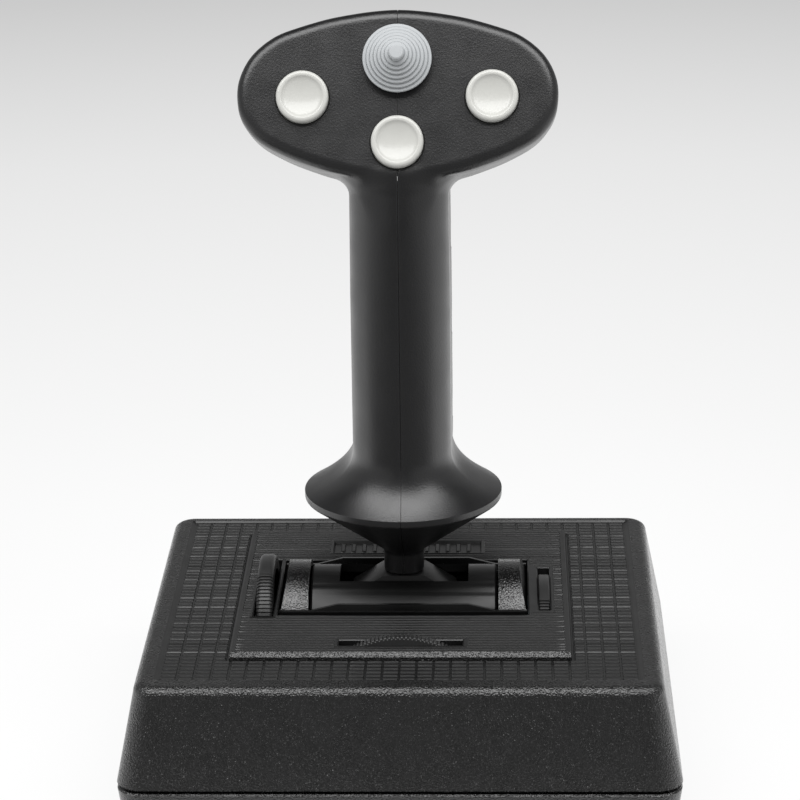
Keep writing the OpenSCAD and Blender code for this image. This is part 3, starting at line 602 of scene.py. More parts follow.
SEAM_GAP, SEAM_BEVEL, SEAM_SINK = 0.06, 0.45, 0.06      # half gap, chamfer width and depth


def on_face(u, w, out):
    """A point given by its place on the button face and its height over it."""
    return FACE_PLACE + FACE_ROWS.transposed() @ Vector((u, w, out))


def face_place(u, w, out=0):
    """Puts a turned piece on the button face, its local Z along the face's outward direction."""
    return Matrix.Translation(on_face(u, w, out) * MM) @ FACE_ROWS.transposed().to_4x4()


def smooth_loop(corners, steps=10):
    """Closed Catmull-Rom curve through the corners."""
    loop, count = [], len(corners)
    for k in range(count):
        loop += curve_stretch(*(corners[(k + i) % count] for i in (-1, 0, 1, 2)), steps)
    return np.array(loop)


def loop_distance(u, w, loop):
    """Signed distance to a closed loop, negative inside it."""
    nearest = np.full(u.shape, 1e9)
    inside = np.zeros(u.shape, bool)
    for (x0, y0), (x1, y1) in zip(loop, np.roll(loop, -1, 0)):
        dx, dy = x1 - x0, y1 - y0
        t = np.clip(((u - x0) * dx + (w - y0) * dy) / (dx * dx + dy * dy), 0, 1)
        nearest = np.minimum(nearest, np.hypot(u - x0 - t * dx, w - y0 - t * dy))
        if dy:
            inside ^= ((y0 > w) != (y1 > w)) & (u < x0 + dx * (w - y0) / dy)
    return np.where(inside, -nearest, nearest)


class HeadOutline:
    """Distance to the head's outline, kept on a fine grid and read between its points."""
    step, half_u, half_w = 0.25, 56.0, 36.0

    def __init__(self):
        mirrored = [(-u, w) for u, w in HEAD_CORNERS[:0:-1]]
        loop = smooth_loop(HEAD_CORNERS + [(0, -26.2)] + mirrored)
        us = np.arange(-self.half_u, self.half_u, self.step)
        ws = np.arange(-self.half_w, self.half_w, self.step)
        self.grid = loop_distance(*np.meshgrid(us, ws, indexing="ij"), loop)

    def __call__(self, u, w):
        a = np.clip((u + self.half_u) / self.step, 0, self.grid.shape[0] - 1.001)
        b = np.clip((w + self.half_w) / self.step, 0, self.grid.shape[1] - 1.001)
        i, j = a.astype(int), b.astype(int)
        a, b = a - i, b - j
        g = self.grid
        return ((g[i, j] * (1 - a) + g[i + 1, j] * a) * (1 - b)
                + (g[i, j + 1] * (1 - a) + g[i + 1, j + 1] * a) * b)


head_outline = HeadOutline()


def join(a, b, radius):
    """Union of two distances with a concave fillet."""
    return (np.maximum(radius, np.minimum(a, b))
            - np.hypot(np.maximum(radius - a, 0), np.maximum(radius - b, 0)))


def common(a, b, radius):
    """Intersection of two distances with a rounded edge."""
    return -join(-a, -b, radius)


def box_distance(x, y, half_x, half_y, radius):
    """Rounded rectangle in two axes; the radius may change from point to point."""
    qx, qy = abs(x) - half_x + radius, abs(y) - half_y + radius
    return np.hypot(np.maximum(qx, 0), np.maximum(qy, 0)) + np.minimum(np.maximum(qx, qy), 0) - radius


def head_distance(x, y, z):
    u, w, out = (FACE_ROWS[r][0] * x + FACE_ROWS[r][1] * (y - FACE_PLACE.y)
                 + FACE_ROWS[r][2] * (z - FACE_PLACE.z) for r in range(3))
    side = head_outline(u, w) + 0.05 * np.maximum(-out - 6, 0)
    back = -out - (HEAD_DEEP - 8 * (u / 48) ** 2)
    return common(common(side, out, HEAD_FRONT_ROUND), back, HEAD_BACK_ROUND), out, w


def column_distance(x, y, z):
    """D-shaped column, slightly fuller at mid height, with a broad sweep out to the hand rest."""
    middle, half = sum(COLUMN_Y) / 2, (COLUMN_Y[1] - COLUMN_Y[0]) / 2
    blend = np.clip((y - middle + 8) / 16, 0, 1)
    radius = 14.4 * (1 - blend) + 6 * blend
    swell = COLUMN_SWELL * np.clip((186 - z) / 36, 0, 1)
    section = box_distance(x, y - middle, COLUMN_HALF_W + swell, half, radius)
    section = section - STEP * np.clip((y - 2) / 6, 0, 1) * (z > SWEEP_TOP)
    t = (z - REST_Z[1]) / (SWEEP_TOP - REST_Z[1])
    share = np.clip(np.clip(1 - t, 0, None) ** 2.2, 0, 1.12)
    sweep = (1 - share) * section + share * (np.hypot(x, y - AXIS_Y) - REST_R)
    return common(sweep, z - COLUMN_TOP, 4)


def outer_distance(x, y, z):
    """Closed outside form of the head, column and sweep, still without the underside of the rest."""
    head, out, w = head_distance(x, y, z)
    below_face = out + 4.4 * np.clip((w + 28) / 9, 0, 1)
    column = common(column_distance(x, y, z), below_face, 6)
    return join(head, column, 4.5)


def grip_distance(x, y, z):
    """The moulded shells: outside form, cavity, screw posts and trigger block."""
    outside = outer_distance(x, y, z)
    cavity = np.maximum(outside + WALL, CAVITY_LOW - z)
    shell = np.maximum(outside, -cavity)
    for height in GRIP_SCREW_Z:
        post = np.hypot(y - GRIP_SCREW_Y, z - height) - POST_R
        shell = np.minimum(shell, np.maximum(post, outside + 1))
    block = np.maximum(np.maximum(abs(x) - 9, abs(y - 22.5) - 11.5), abs(z - 204) - 10)
    return np.minimum(shell, np.maximum(block, outside + 1))


def surface_mesh(name, distance, low, high, voxel):
    """Meshes a distance field and settles every vertex onto its zero surface."""
    count = np.ceil((np.array(high) - low) / voxel).astype(int)
    axes = [low[i] + voxel * np.arange(count[i]) for i in range(3)]
    field = distance(*np.meshgrid(*axes, indexing="ij"))
    grid = openvdb.FloatGrid(10.0)
    grid.copyFromArray((field / voxel).astype(np.float32))
    points, quads = grid.convertToQuads(0.0)
    points = np.array(points, float) * voxel + low
    for _ in range(3):
        here = distance(*points.T)
        slope = np.stack([(distance(*(points + 0.05 * np.eye(3)[i]).T)
                           - distance(*(points - 0.05 * np.eye(3)[i]).T)) / 0.1 for i in range(3)], 1)
        move = here[:, None] * slope / np.maximum((slope ** 2).sum(1), 0.25)[:, None]
        points -= np.clip(move, -0.3 * voxel, 0.3 * voxel)
    mesh = bpy.data.meshes.new(name)
    mesh.from_pydata((points * MM).tolist(), [], np.array(quads).tolist())
    return mesh


def split_half(mesh, side):
    """One half of the grip: cut at the seam, closed, with a small chamfer along the seam."""
    bm = bmesh.new()
    bm.from_mesh(mesh)
    for place, clear in ((SEAM_GAP, True), (SEAM_BEVEL, False)):
        bmesh.ops.bisect_plane(bm, geom=bm.verts[:] + bm.edges[:] + bm.faces[:], dist=1e-6,
                               plane_co=(side * place * MM, 0, 0), plane_no=(side, 0, 0), clear_inner=clear)
    rim = [e for e in bm.edges if e.is_boundary]
    bm.normal_update()
    pushes = {v: v.normal.copy() for v in {v for e in rim for v in e.verts}}
    for vert, normal in pushes.items():
        vert.co -= Vector((0, normal.y, normal.z)) * SEAM_SINK * MM
    bmesh.ops.triangle_fill(bm, edges=rim, use_beauty=True)
    return mesh_of(mesh.name, bm)


def grip_cutters(side):
    """Button holes, hat hole, trigger pocket, shaft bore and screw recesses of one half."""
    cutters = []
    for node, (u, w) in BUTTON_SPOTS.items():
        if u * side >= 0:
            hole = [(0, -8), (8.15, -8), (8.15, -0.3), (8.75, 0.3), (8.75, 4), (0, 4)]
            cutters.append(lathe("hole", hole, None, face_place(u, w)))
    cutters.append(rod("hole", face_place(*HAT_SPOT), 6.2, -8, 4))
    cutters.append(block("pocket", *TRIGGER_POCKET))
    cutters.append(rod("shaft_bore", at(0, AXIS_Y, 0), 4.55, NECK_Z[0] - 2, 118.5))
    for height in GRIP_SCREW_Z:
        across = at(0, GRIP_SCREW_Y, height, ALONG_X)
        cutters.append(rod("bore", across, 1.9, -9.5, 9.95, 32))
        if side > 0:
            recess = [(0, 9.9), (3.3, 9.9), (3.3, 14.2), (4.3, 15.6), (4.3, 20), (0, 20)]
            cutters.append(lathe("recess", recess, None, across, 48))
    return joined("grip_cutters", cutters)


def rest_envelope():
    """Neck, cone and rim as one turned form; above the rim it leaves room for the rest of the grip."""
    profile = [(0, NECK_Z[0]), (NECK_R - 0.3, NECK_Z[0]), (NECK_R, NECK_Z[0] + 0.3)]
    profile += [(NECK_R, NECK_Z[1] - 3)] + arc((NECK_R + 2.4, NECK_Z[1] - 3), 2.4, 180, 124, 5)
    profile += arc((REST_R - 0.8, REST_Z[0] + 0.5), 0.8, -54, 0, 5)
    profile += [(REST_R, SWEEP_TOP), (70, SWEEP_TOP), (70, 250), (0, 250)]
    return lathe("rest_envelope", profile, None, at(0, AXIS_Y, 0), 192)


def make_grip():
    low, high = (-50.9, -35.0, NECK_Z[0] - 1.5), (50.9, 38.6, 239.5)
    whole = new_object("grip_form", surface_mesh("grip", grip_distance, low, high, GRIP_VOXEL), None)
    combine(whole, rest_envelope(), "INTERSECT")
    for node, side in (("grip_left", -1), ("grip_right", 1)):
        half = new_object(node + "_shell", split_half(whole.data, side), "grip", 38)
        combine(half, grip_cutters(side))
        half.data.set_sharp_from_angle(angle=radians(38))
        finish_piece(half, "stick", node)
    bpy.data.objects.remove(whole)


make_grip()

# ---- gimbal: slotted drum, collar, bearing caps, hub ----
SLOT_HALF = (20.5, 7.4)
CAP_R = cap_high.z - AXIS_Z
CAP_X = (DRUM_HALF + 0.5, cap_high.x)
COLLAR_R, COLLAR_STEP = 24.8, 11.8      # collar radius; height of its curved part over the axis
COLLAR_WALL_Y = 19.8                    # upright walls before and behind the axis
PITCH_PLACE = at(0, AXIS_Y, AXIS_Z, ALONG_X)
ROLL_PLACE = at(0, AXIS_Y, AXIS_Z, ALONG_Y)


def pitch_rod(radius, low, high, segments=64):
    return rod("pitch_rod", PITCH_PLACE, radius, low, high, segments)


def roll_rod(radius, low, high):
    return rod("roll_rod", ROLL_PLACE, radius, low, high)


def make_drum():
    """Hollow drum, slotted above and open below, with a cheek on each side of the hub."""
    edge = 0.6
    profile = [(0, -DRUM_HALF), (DRUM_R - edge, -DRUM_HALF), (DRUM_R, -DRUM_HALF + edge),
               (DRUM_R, DRUM_HALF - edge), (DRUM_R - edge, DRUM_HALF), (0, DRUM_HALF)]
    drum = lathe("pitch_drum_shell", profile, "drum", PITCH_PLACE, 192)
    inner = DRUM_HALF - 2.5
    length, width = SLOT_HALF
    combine(drum, pitch_rod(DRUM_R - 2.5, -inner, inner, 128))
    combine(drum, block("slot", (-length, length), shift(AXIS_Y, (-width, width)), (AXIS_Z, AXIS_Z + 30)))
    combine(drum, block("under", (-inner, inner), (-30, 40), (0, AXIS_Z + 7)))
    for side in (-1, 1):
        combine(drum, pitch_rod(4.05, side * 28 - 3, side * 28 + 3))
        cheek = block("cheek", (-inner - 0.4, inner + 0.4), shift(AXIS_Y + side * 10.75, (-1.25, 1.25)),
                      shift(AXIS_Z, (-5, 13.6)))
        combine(drum, cheek, "UNION")
    combine(drum, roll_rod(2.6, -14, 14))
    bevel(drum, 0.22, 2)
    finish_piece(drum, "pitch_carrier", "pitch_drum")


def make_cap(node, side):
    """Arched bearing cap: hollow, open below, its outer cheek leaning in towards the top."""
    low, high = CAP_X
    profile = [(0, low), (CAP_R, low), (CAP_R, high), (0, high)]
    cap = lathe(node + "_shell", profile, "cap", PITCH_PLACE, 192)
    combine(cap, pitch_rod(CAP_R - 2.2, low - 1, high - 4.6, 128))
    leaning = [(60, high - 3.3), (60, high + 9), (30, high + 9), (30, high + 0.1), (45, high)]
    combine(cap, prism("cheek", leaning, -40, 50, "y"))
    combine(cap, pitch_rod(9.6, low - 1, high + 5))
    combine(cap, block("under", (0, 50), (-40, 50), (0, AXIS_Z + 5.5)))
    if side < 0:
        cap.data.transform(Matrix.Scale(-1, 4, (1, 0, 0)))
        cap.data.flip_normals()
    bevel(cap, 0.35, 3, 40)
    finish_piece(cap, "base", node)


def collar_top(x):
    """Height of the collar's rim over the drum axis: raised in the middle, low at the caps."""
    return 13.9 + 2.2 * float(np.clip((29 - abs(x)) / 8.5, 0, 1))


def make_collar():
    """Glossy collar round the drum, with an upright wall in front and behind."""
    sides = [(39, 4), (31, 4), (31, 8.5), (-31, 8.5), (-31, 4), (-39, 4)]
    rim = [(x, collar_top(x)) for x in (-39, -29, -20.5, 20.5, 29, 39)]
    outline = [(AXIS_Z + z, x) for x, z in sides + rim]
    collar = prism("gimbal_frame_collar", outline, AXIS_Y - 30, AXIS_Y + 30, "y", "gloss")
    combine(collar, pitch_rod(COLLAR_R, -41, 41, 192), "INTERSECT")
    combine(collar, pitch_rod(CAP_R + 0.4, -42, 42, 192))
    combine(collar, block("above", (-42, 42), (-30, 40), shift(AXIS_Z, (COLLAR_STEP, 30))))
    for side in (-1, 1):
        middle = AXIS_Y + side * COLLAR_WALL_Y
        wall = prism("wall", outline, middle - 0.6, middle + 0.6, "y", "gloss")
        combine(wall, block("below", (-42, 42), (-30, 40), (0, AXIS_Z + 11)))
        combine(collar, wall, "UNION")
    bevel(collar, 0.3, 2, 50)
    finish_piece(collar, "base", "gimbal_frame")


def make_towers():
    """Side towers that carry the drum and cross walls that carry the bail."""
    depth = shift(AXIS_Y, (-29.5, 29.5))
    for name, side in (("left", -1), ("right", 1)):
        low, high = shift(side * 33, (-2, 2))
        tower = block(f"gimbal_tower_{name}", (low, high), depth, (16, AXIS_Z + 5.2), "hub")
        combine(tower, pitch_rod(10, low, high), "UNION")
        combine(tower, pitch_rod(6.02, low - 1, high + 1))
        bevel(tower, 0.3, 2, 50)
        finish_piece(tower, "base", "gimbal_frame")
    for name, side in (("front", -1), ("rear", 1)):
        low, high = shift(side * 27.75, (-1.75, 1.75))
        wall = block(f"gimbal_wall_{name}", (-30.9, 30.9), shift(AXIS_Y, (low, high)), (16, 40), "hub")
        combine(wall, roll_rod(5.02, low - 1, high + 1))
        bevel(wall, 0.3, 2, 50)
        finish_piece(wall, "base", "gimbal_frame")


def make_hub():
    """Tent-shaped block under the neck, on the roll pin."""
    right = [(6.6, 20.4), (16.6, 14.2), (15, 6), (6, 0)]
    outline = [(AXIS_Z + z, x) for x, z in right + [(-x, z) for x, z in right[::-1]]]
    hub = prism("shaft_hub_block", outline, AXIS_Y - 6.9, AXIS_Y + 6.9, "y", "hub")
    combine(hub, roll_rod(8.5, -8.9, 8.9), "UNION")
    combine(hub, roll_rod(2.52, -10, 10))
    combine(hub, rod("shaft_bore", at(0, AXIS_Y, AXIS_Z), 4.52, 4, 30))
    bevel(hub, 0.35, 2)
    finish_piece(hub, "stick", "shaft_hub")


make_drum()
make_cap("left_bearing_cap", -1)
make_cap("right_bearing_cap", 1)
make_collar()
make_towers()
make_hub()

# ---- thumb wheels ----
TOOTH_PITCH = 1.3
TOOTH_DEPTH = 0.5
TRIM_AXIS_Z = 20.8


def rim_stations(radius, half_angle, smooth, closed):
    """(angle, radius) pairs round a rim: raised teeth, plain within smooth degrees of the top."""
    teeth = round(2 * half_angle / 360 * 2 * pi * radius / TOOTH_PITCH)
    step = 2 * half_angle / teeth
    stations = []
    for k in range(teeth):
        start = -half_angle + k * step
        for share, raised in ((0.0, 0), (0.3, 0), (0.42, 1), (0.88, 1)):
            angle = start + share * step
            plain = abs(angle) < smooth
            stations.append((angle, radius if raised or plain else radius - TOOTH_DEPTH))
    if not closed:
        stations.append((half_angle, radius - TOOTH_DEPTH))
    return stations


def rim_section(radius, low, high, corner):
    """Rim corner arcs of one station as (radius, height) points from the low to the high side."""
    low_arc = arc((radius - corner, low + corner), corner, -90, 0, 4)
    high_arc = arc((radius - corner, high - corner), corner, 0, 90, 4)
    return low_arc + high_arc


def thumb_wheel(name, place, radius, low, high, half_angle, smooth, inner, corner):
    """Wheel or sector turned about local Z with its top towards local Y; inner is its web profile."""
    closed = half_angle == 180
    points, faces, sections = [], [], []
    for angle, r in rim_stations(radius, half_angle, smooth, closed):
        a = radians(angle)
        section = [inner[0]] + rim_section(r, low, high, corner) + [inner[-1]] + list(inner[-2:0:-1])
        sections.append(len(points))
        points += [(q * sin(a), q * cos(a), h) for q, h in section]
    count = len(section)
    pairs = list(zip(sections, sections[1:])) + ([(sections[-1], sections[0])] if closed else [])
    for a, b in pairs:
        faces += [(a + i, b + i, b + (i + 1) % count, a + (i + 1) % count) for i in range(count)]
    if not closed:
        faces += [tuple(range(sections[0], sections[0] + count)),
                  tuple(range(sections[-1], sections[-1] + count))]
    mesh = mesh_of(name, bmesh_from(points, faces), False)
    mesh.transform(place)
    return new_object(name, mesh, "wheel", 30)


FACING_X = Matrix(((0, 0, 1), (1, 0, 0), (0, 1, 0))).to_4x4()
FACING_Y = Matrix(((-1, 0, 0), (0, 0, 1), (0, 1, 0))).to_4x4()


def make_wheels():
    radius = throttle_high.z - AXIS_Z
    low, high = throttle_low.x, throttle_high.x
    web = [(19, low), (19, low + 1.5), (3.1, low + 1.5), (3.1, high - 1.5), (19, high - 1.5), (19, high)]
    throttle = thumb_wheel("throttle_wheel_rim", at(0, AXIS_Y, AXIS_Z, FACING_X), radius, low, high,
                           180, 22, web, 1.5)
    finish_piece(throttle, "throttle", "throttle_wheel")
    trim_r = pitch_trim_high.z - TRIM_AXIS_Z
    trim_y = (pitch_trim_low.y + pitch_trim_high.y) / 2
    for node, place, low, high, smooth, shaft in (
            ("pitch_trim", at(0, trim_y, TRIM_AXIS_Z, FACING_X), 42.9, 46.3, 20, (46.2, 56)),
            ("roll_trim", at(0, 0, TRIM_AXIS_Z, FACING_Y), -43.1, -39.7, 0, (-54, -43))):
        inner = [(2, low), (2, high)]
        wheel = thumb_wheel(node + "_sector", place, trim_r, low, high, 42, smooth, inner, 0.5)
        combine(wheel, rod("boss", place, 6, low, high), "UNION")
        combine(wheel, rod("shaft", place, 3, *shaft), "UNION")
        finish_piece(wheel, node, node + "_wheel")


# ---- push buttons, hat and trigger ----
BUTTON_R = 7.95
BUTTON_RISE = 2.5


def make_button(node, spot):
    """Plunger with a thick rounded rim round a dished top."""
    flange = BUTTON_R + 0.9
    profile = [(0, -6.5), (3, -6.5), (3, -4.6), (flange, -4.6), (flange, -3), (BUTTON_R, -3)]
    profile += arc((BUTTON_R - 1.0, BUTTON_RISE - 1.0), 1.0, 0, 90, 7)
    profile += arc((BUTTON_R - 1.15, BUTTON_RISE - 0.9), 0.9, 95, 140, 4)
    dish_r, dish_edge = 5.7, BUTTON_RISE - 0.62
    dish = [(dish_r * s, dish_edge - 1.15 * (1 - s * s))
            for s in (0.97, 0.9, 0.8, 0.65, 0.5, 0.35, 0.2, 0.08, 0)]
    button = lathe(node + "_cap", profile + dish, "white", face_place(*spot), 128, 60)
    finish_piece(button, node, node)


HAT_R, HAT_RINGS, HAT_BASE = 10.45, 7, 1.8
HAT_STEP_IN, HAT_STEP_UP = 1.15, 1.05


def make_hat():
    """Stepped cone: even rings with a groove at the foot of each, and a small flat tip."""
    profile = [(0, -10.2), (5.8, -10.2), (5.8, -8.7), (3, -8.7), (3, -2.4), (4, -2.4), (4, HAT_BASE)]
    profile += [(HAT_R - 0.25, HAT_BASE), (HAT_R, HAT_BASE + 0.25)]
    for ring in range(HAT_RINGS):
        radius, inner = HAT_R - ring * HAT_STEP_IN, HAT_R - (ring + 1) * HAT_STEP_IN
        top = HAT_BASE + 1.2 + ring * HAT_STEP_UP
        profile += [(radius, top - 0.2), (radius - 0.15, top)]
        profile += [(inner + 0.25, top + 0.1), (inner + 0.06, top - 0.02)]
    tip = HAT_BASE + 10
    profile += [(2.4, tip - 0.9), (2.3, tip - 0.3), (1.9, tip), (0, tip + 0.05)]
    hat = lathe("hat_cap_rings", profile, "hat", face_place(*HAT_SPOT), 128, 24)
    finish_piece(hat, "hat", "hat_cap")


def curve_through(points, steps=6):
    """Open smooth curve through the points, ends included."""
    ends = [points[0]] + points + [points[-1]]
    curve = []
    for k in range(len(points) - 1):
        curve += [tuple(spot) for spot in curve_stretch(*ends[k:k + 4], steps)]
    return curve + [points[-1]]


def make_trigger():
    finger = [(22, 205.3), (26.2, 200.5), (27.6, 192), (29.4, 184), (33.2, 179.2)]
    behind = [(31.2, 177.6), (26.4, 182.6), (24, 188)]
    lever = [(17.4, 188.5), (17.4, 191), (22, 193), (20, 198.4), (18, 199.1), (18, 203), (19, 206.2)]
    outline = finger[:1] + curve_through(finger) + curve_through(behind) + lever
    trigger = prism("trigger_lever", outline, -5, 5, "x", "grip")
    pivot = at(0, 17, 203, ALONG_X)
    combine(trigger, rod("boss", pivot, 4.2, -5, 5), "UNION")
    combine(trigger, rod("bore", pivot, 1.55, -6, 6))
    combine(trigger, rod("spring_room", pivot, 4.5, -2, 2))
    bevel(trigger, 0.7, 3, 50)
    finish_piece(trigger, "trigger", "trigger")


make_wheels()
for node_name, face_spot in BUTTON_SPOTS.items():
    make_button(node_name, face_spot)
make_hat()
make_trigger()

# ---- base plate, feet, cable and plug ----
plate_low, plate_high = mm_box("base_plate")
FOOT_SPOTS = [(0, 0), (-58, -62), (58, -62), (-58, 62), (58, 62)]
SCREW_SPOTS = [(-69, -57), (69, -57), (-69, 57), (69, 57)]
BOARD_SPOTS = [(-33, 46), (33, 46), (-33, 62), (33, 62)]


def make_base_plate():
    """Shallow tray that closes the base: leaning rim, raised inner lip, recesses below."""
    bm = bmesh.new()
    low, high = plate_low.z, plate_high.z - 0.6
    half_x, half_y = plate_high.x, plate_high.y
    outline = [(2.7, low), (1.85, low + 0.35), (1.5, low + 1.2), (0.12, high - 0.5), (0.6, high),
               (2.9, high), (2.9, high + 0.5), (4.9, high + 0.5), (4.9, low + 2.5)]
    rings = [rounded_ring(bm, half_x - inset, half_y - inset, 7.5 - inset * 0.5, z) for inset, z in outline]
    for lower, upper in zip(rings[:-1], rings[1:]):
        join_rings(bm, lower, upper)
    bm.faces.new(rings[0])
    bm.faces.new(rings[-1])
    plate = new_object("base_plate_tray", mesh_of("base_plate", bm), "base", 40)
    posts = [rod("post", at(x, y, 0), 5, low + 1, high + 0.8) for x, y in SCREW_SPOTS]
    posts += [rod("post", at(x, y, 0), 3, low + 1, 9) for x, y in BOARD_SPOTS]
    combine(plate, joined("posts", posts), "UNION")
    cutters = [rod("recess", at(x, y, 0), 3.4, low - 1, 12) for x, y in SCREW_SPOTS]
    cutters += [rod("foot_recess", at(x, y, 0), 8.2, low - 1, low + 0.6) for x, y in FOOT_SPOTS]
    combine(plate, joined("recesses", cutters))
    bores = [rod("bore", at(x, y, 0), 1.6, 11, 20, 32) for x, y in SCREW_SPOTS]
    combine(plate, joined("bores", bores))
    plate.data.set_sharp_from_angle(angle=SHARP)
    finish_piece(plate, "base", "base_plate")


def make_feet():
    profile = [(0, 0.15), (1.2, 0), (6.9, 0), (7.7, 0.35), (8, 1.1), (8, 3.6), (0, 3.6)]
    for index, (x, y) in enumerate(FOOT_SPOTS):
        foot = lathe(f"rubber_foot_{index + 1}", profile, "rubber", at(x, y, 0), 64, 50)
        finish_piece(foot, "base", "rubber_feet")


def tube(name, path, radius, material, sides=20):
    """Round tube along a path of millimetre points, closed at both ends."""
    path = [Vector(p) for p in path]
    side = None
    points, faces = [], []
    for i, spot in enumerate(path):
        ahead = (path[min(i + 1, len(path) - 1)] - path[max(i - 1, 0)]).normalized()
        side = side or ahead.cross(Vector((0, 0, 1)))
        side = (side - ahead * side.dot(ahead)).normalized()
        other = ahead.cross(side)
        for k in range(sides):
            a = 2 * pi * k / sides
            points.append(spot + radius * (cos(a) * side + sin(a) * other))
    for i in range(len(path) - 1):
        for k in range(sides):
            n = (k + 1) % sides
            faces.append((i * sides + k, i * sides + n, (i + 1) * sides + n, (i + 1) * sides + k))
    faces += [tuple(range(sides)), tuple(range((len(path) - 1) * sides, len(path) * sides))]
    return new_object(name, mesh_of(name, bmesh_from(points, faces), False), material)


CABLE_R = 2.5
EXIT = Vector((2, 64, 22))
COIL_CENTRE, COIL_R = Vector((28, 112, 0)), 26
COIL_LOW, COIL_PITCH, COIL_TURNS = 2.8, 5.8, 2.75
PLUG = Vector((-16, 98, 7.6))


def coil_spot(share):
    """Point on the coiled cable, from its top (0) to the table (1)."""
    turn = pi - 2 * pi * COIL_TURNS * share
    height = COIL_LOW + COIL_PITCH * COIL_TURNS * (1 - share)
    return COIL_CENTRE + Vector((COIL_R * cos(turn), COIL_R * sin(turn), height))


def bezier(a, b, c, d, steps):
    return [(1 - t) ** 3 * a + 3 * t * (1 - t) ** 2 * b + 3 * t * t * (1 - t) * c + t ** 3 * d
            for t in (i / steps for i in range(steps + 1))]


def make_cable():
    drop_from, drop_to = Vector((EXIT.x, 93, EXIT.z)), coil_spot(0)
    path = [EXIT, Vector((EXIT.x, 80, EXIT.z))]
    bend = Vector((0, 7, 0))
    path += bezier(drop_from, drop_from + bend, drop_to - bend, drop_to, 12)[:-1]
    path += [coil_spot(i / 180) for i in range(181)]
    end = coil_spot(1)
    lead = end - Vector((22, 0, 0))
    path += bezier(lead, lead - Vector((13, 0, 0)), PLUG + Vector((9, 0, 0)), PLUG, 24)
    finish_piece(tube("cable_run", path, CABLE_R, "cable"), "base", "cable")


def make_strain_relief():
    """Flexible sleeve: collar in the housing wall, then ribs that grow smaller."""
    profile = [(2.55, 67), (5.6, 67), (6, 67.4), (6, 69.1), (5.6, 69.5), (4.4, 69.5), (4.4, 76.6),
               (5.7, 76.6), (6, 76.9), (6, 78.7), (5.7, 79), (3.6, 79)]
    for k in range(5):
        start, radius = 80.2 + 2.3 * k, 5.0 - 0.28 * k
        profile += [(3.5, start - 0.3), (radius - 0.3, start), (radius, start + 0.35),
                    (radius, start + 0.95), (radius - 0.3, start + 1.3), (3.5, start + 1.5)]
    profile += [(3.3, 90.6), (3.0, 91), (2.55, 91), (2.55, 67)]
    place = at(EXIT.x, 0, EXIT.z, ALONG_Y)
    sleeve = lathe("strain_relief_sleeve", profile, "rubber", place, 64, 40)
    finish_piece(sleeve, "base", "strain_relief")


def make_tie():
    """Flat strap round the coil with its ratchet head outside."""
    x, y = COIL_CENTRE.x + COIL_R, COIL_CENTRE.y
    loops = []
    for inset in (0.0, 0.9):
        corner, ring = 2.4 - inset, []
        for k, (sx, sz) in enumerate(((1, 1), (-1, 1), (-1, -1), (1, -1))):
            middle = (sx * (3.85 - corner - inset), 10.2 + sz * (9.35 - corner - inset))
            ring += [(z, x + dx) for dx, z in arc(middle, corner, 90 * k, 90 * k + 90, 5)]
        loops.append(ring)
    strap = prism("cable_tie_strap", loops[0], y - 1.8, y + 1.8, "y", "rubber")
    combine(strap, prism("hole", loops[1], y - 3, y + 3, "y"))
    bevel(strap, 0.15, 1, 50)
    finish_piece(strap, "base", "cable_tie")
    head = block("cable_tie_head", (x + 3.5, x + 7), (y - 2.6, y + 2.6), (9, 14), "rubber")
    bevel(head, 0.5, 2)
    finish_piece(head, "base", "cable_tie")


def make_plug():
    x, y, z = PLUG
    upper = [(x, y + 4), (x - 3, y + 5.5), (x - 13, y + 16), (x - 16, y + 18.6), (x - 20, y + 19),
             (x - 34, y + 19)]
    outline = [(x, y - 4)] + upper + [(a, 2 * y - b) for a, b in upper[:0:-1]]
    hood = prism("plug_hood", outline, z - 7, z + 7, "z", "cable")
    bevel(hood, 1.6, 4, 25)
    cutters = [rod("screw_room", at(0, y + side * 15, z, ALONG_X), 3.2, x - 36, x - 13) for side in (-1, 1)]
    cutters.append(rod("cable_room", at(0, y, z, ALONG_X), 2.52, x - 2, x + 1))
    combine(hood, joined("plug_rooms", cutters))
    ribs = [block("rib", (x - 30.5 + 2.6 * k, x - 29.2 + 2.6 * k), (y - 11, y + 11), (z + 6.4, z + 7.6))
            for k in range(5)]
    combine(hood, joined("plug_ribs", ribs), "UNION")
    hood.data.set_sharp_from_angle(angle=SHARP)
    finish_piece(hood, "base", "plug_shell")


make_base_plate()
make_feet()
make_cable()
make_strain_relief()
make_tie()
make_plug()

# ---- materials on the CAD nodes that stay ----
SLOT_MATERIAL = {
    "base_plastic": "base", "cap_plastic": "cap", "grip_plastic": "grip", "button_white": "white",
    "hat_grey": "hat", "wheel_black": "wheel", "drum_plastic": "drum", "rubber": "rubber",
    "steel": "steel", "shaft_steel": "steel", "bronze": "bronze", "pot_case": "can", "sheet": "sheet",
    "board": "board", "component": "chip", "wire": "wire", "cable_skin": "cable",
}


def dress_cad_nodes():
    """Gives every CAD node the detailed material of its slot."""
    for part in frame["record"]["subparts"]:
        node = frame["nodes"][part["node"]]
        node.data.materials.clear()
        node.data.materials.append(MATERIAL[SLOT_MATERIAL[part["material_slot"]]])


dress_cad_nodes()

# ---- floor, light and camera ----
CAMERA_PLACE = Vector((0.0304, -0.9481, 0.4352))
CAMERA_DOWN = radians(18.76)
CAMERA_LEFT = radians(1.87)
CAMERA_ROLL = radians(-0.773)
CAMERA_LENS = 144
WORLD_SEEN, WORLD_FILL, WORLD_BASE = 0.62, 0.40, 0.04
FLOOR_RADIUS = 2.6
WALL_HEIGHT = 1.6
# painted glow of the floor: emission brightest under the object and falling off outwards, which also lights
# the object
FLOOR_GLOW = ((0.00, 0.86), (0.15, 0.86), (0.35, 0.80), (0.75, 0.70), (1.20, 0.52), (2.20, 0.42),
              (2.60, 0.36))         # (distance, glow)


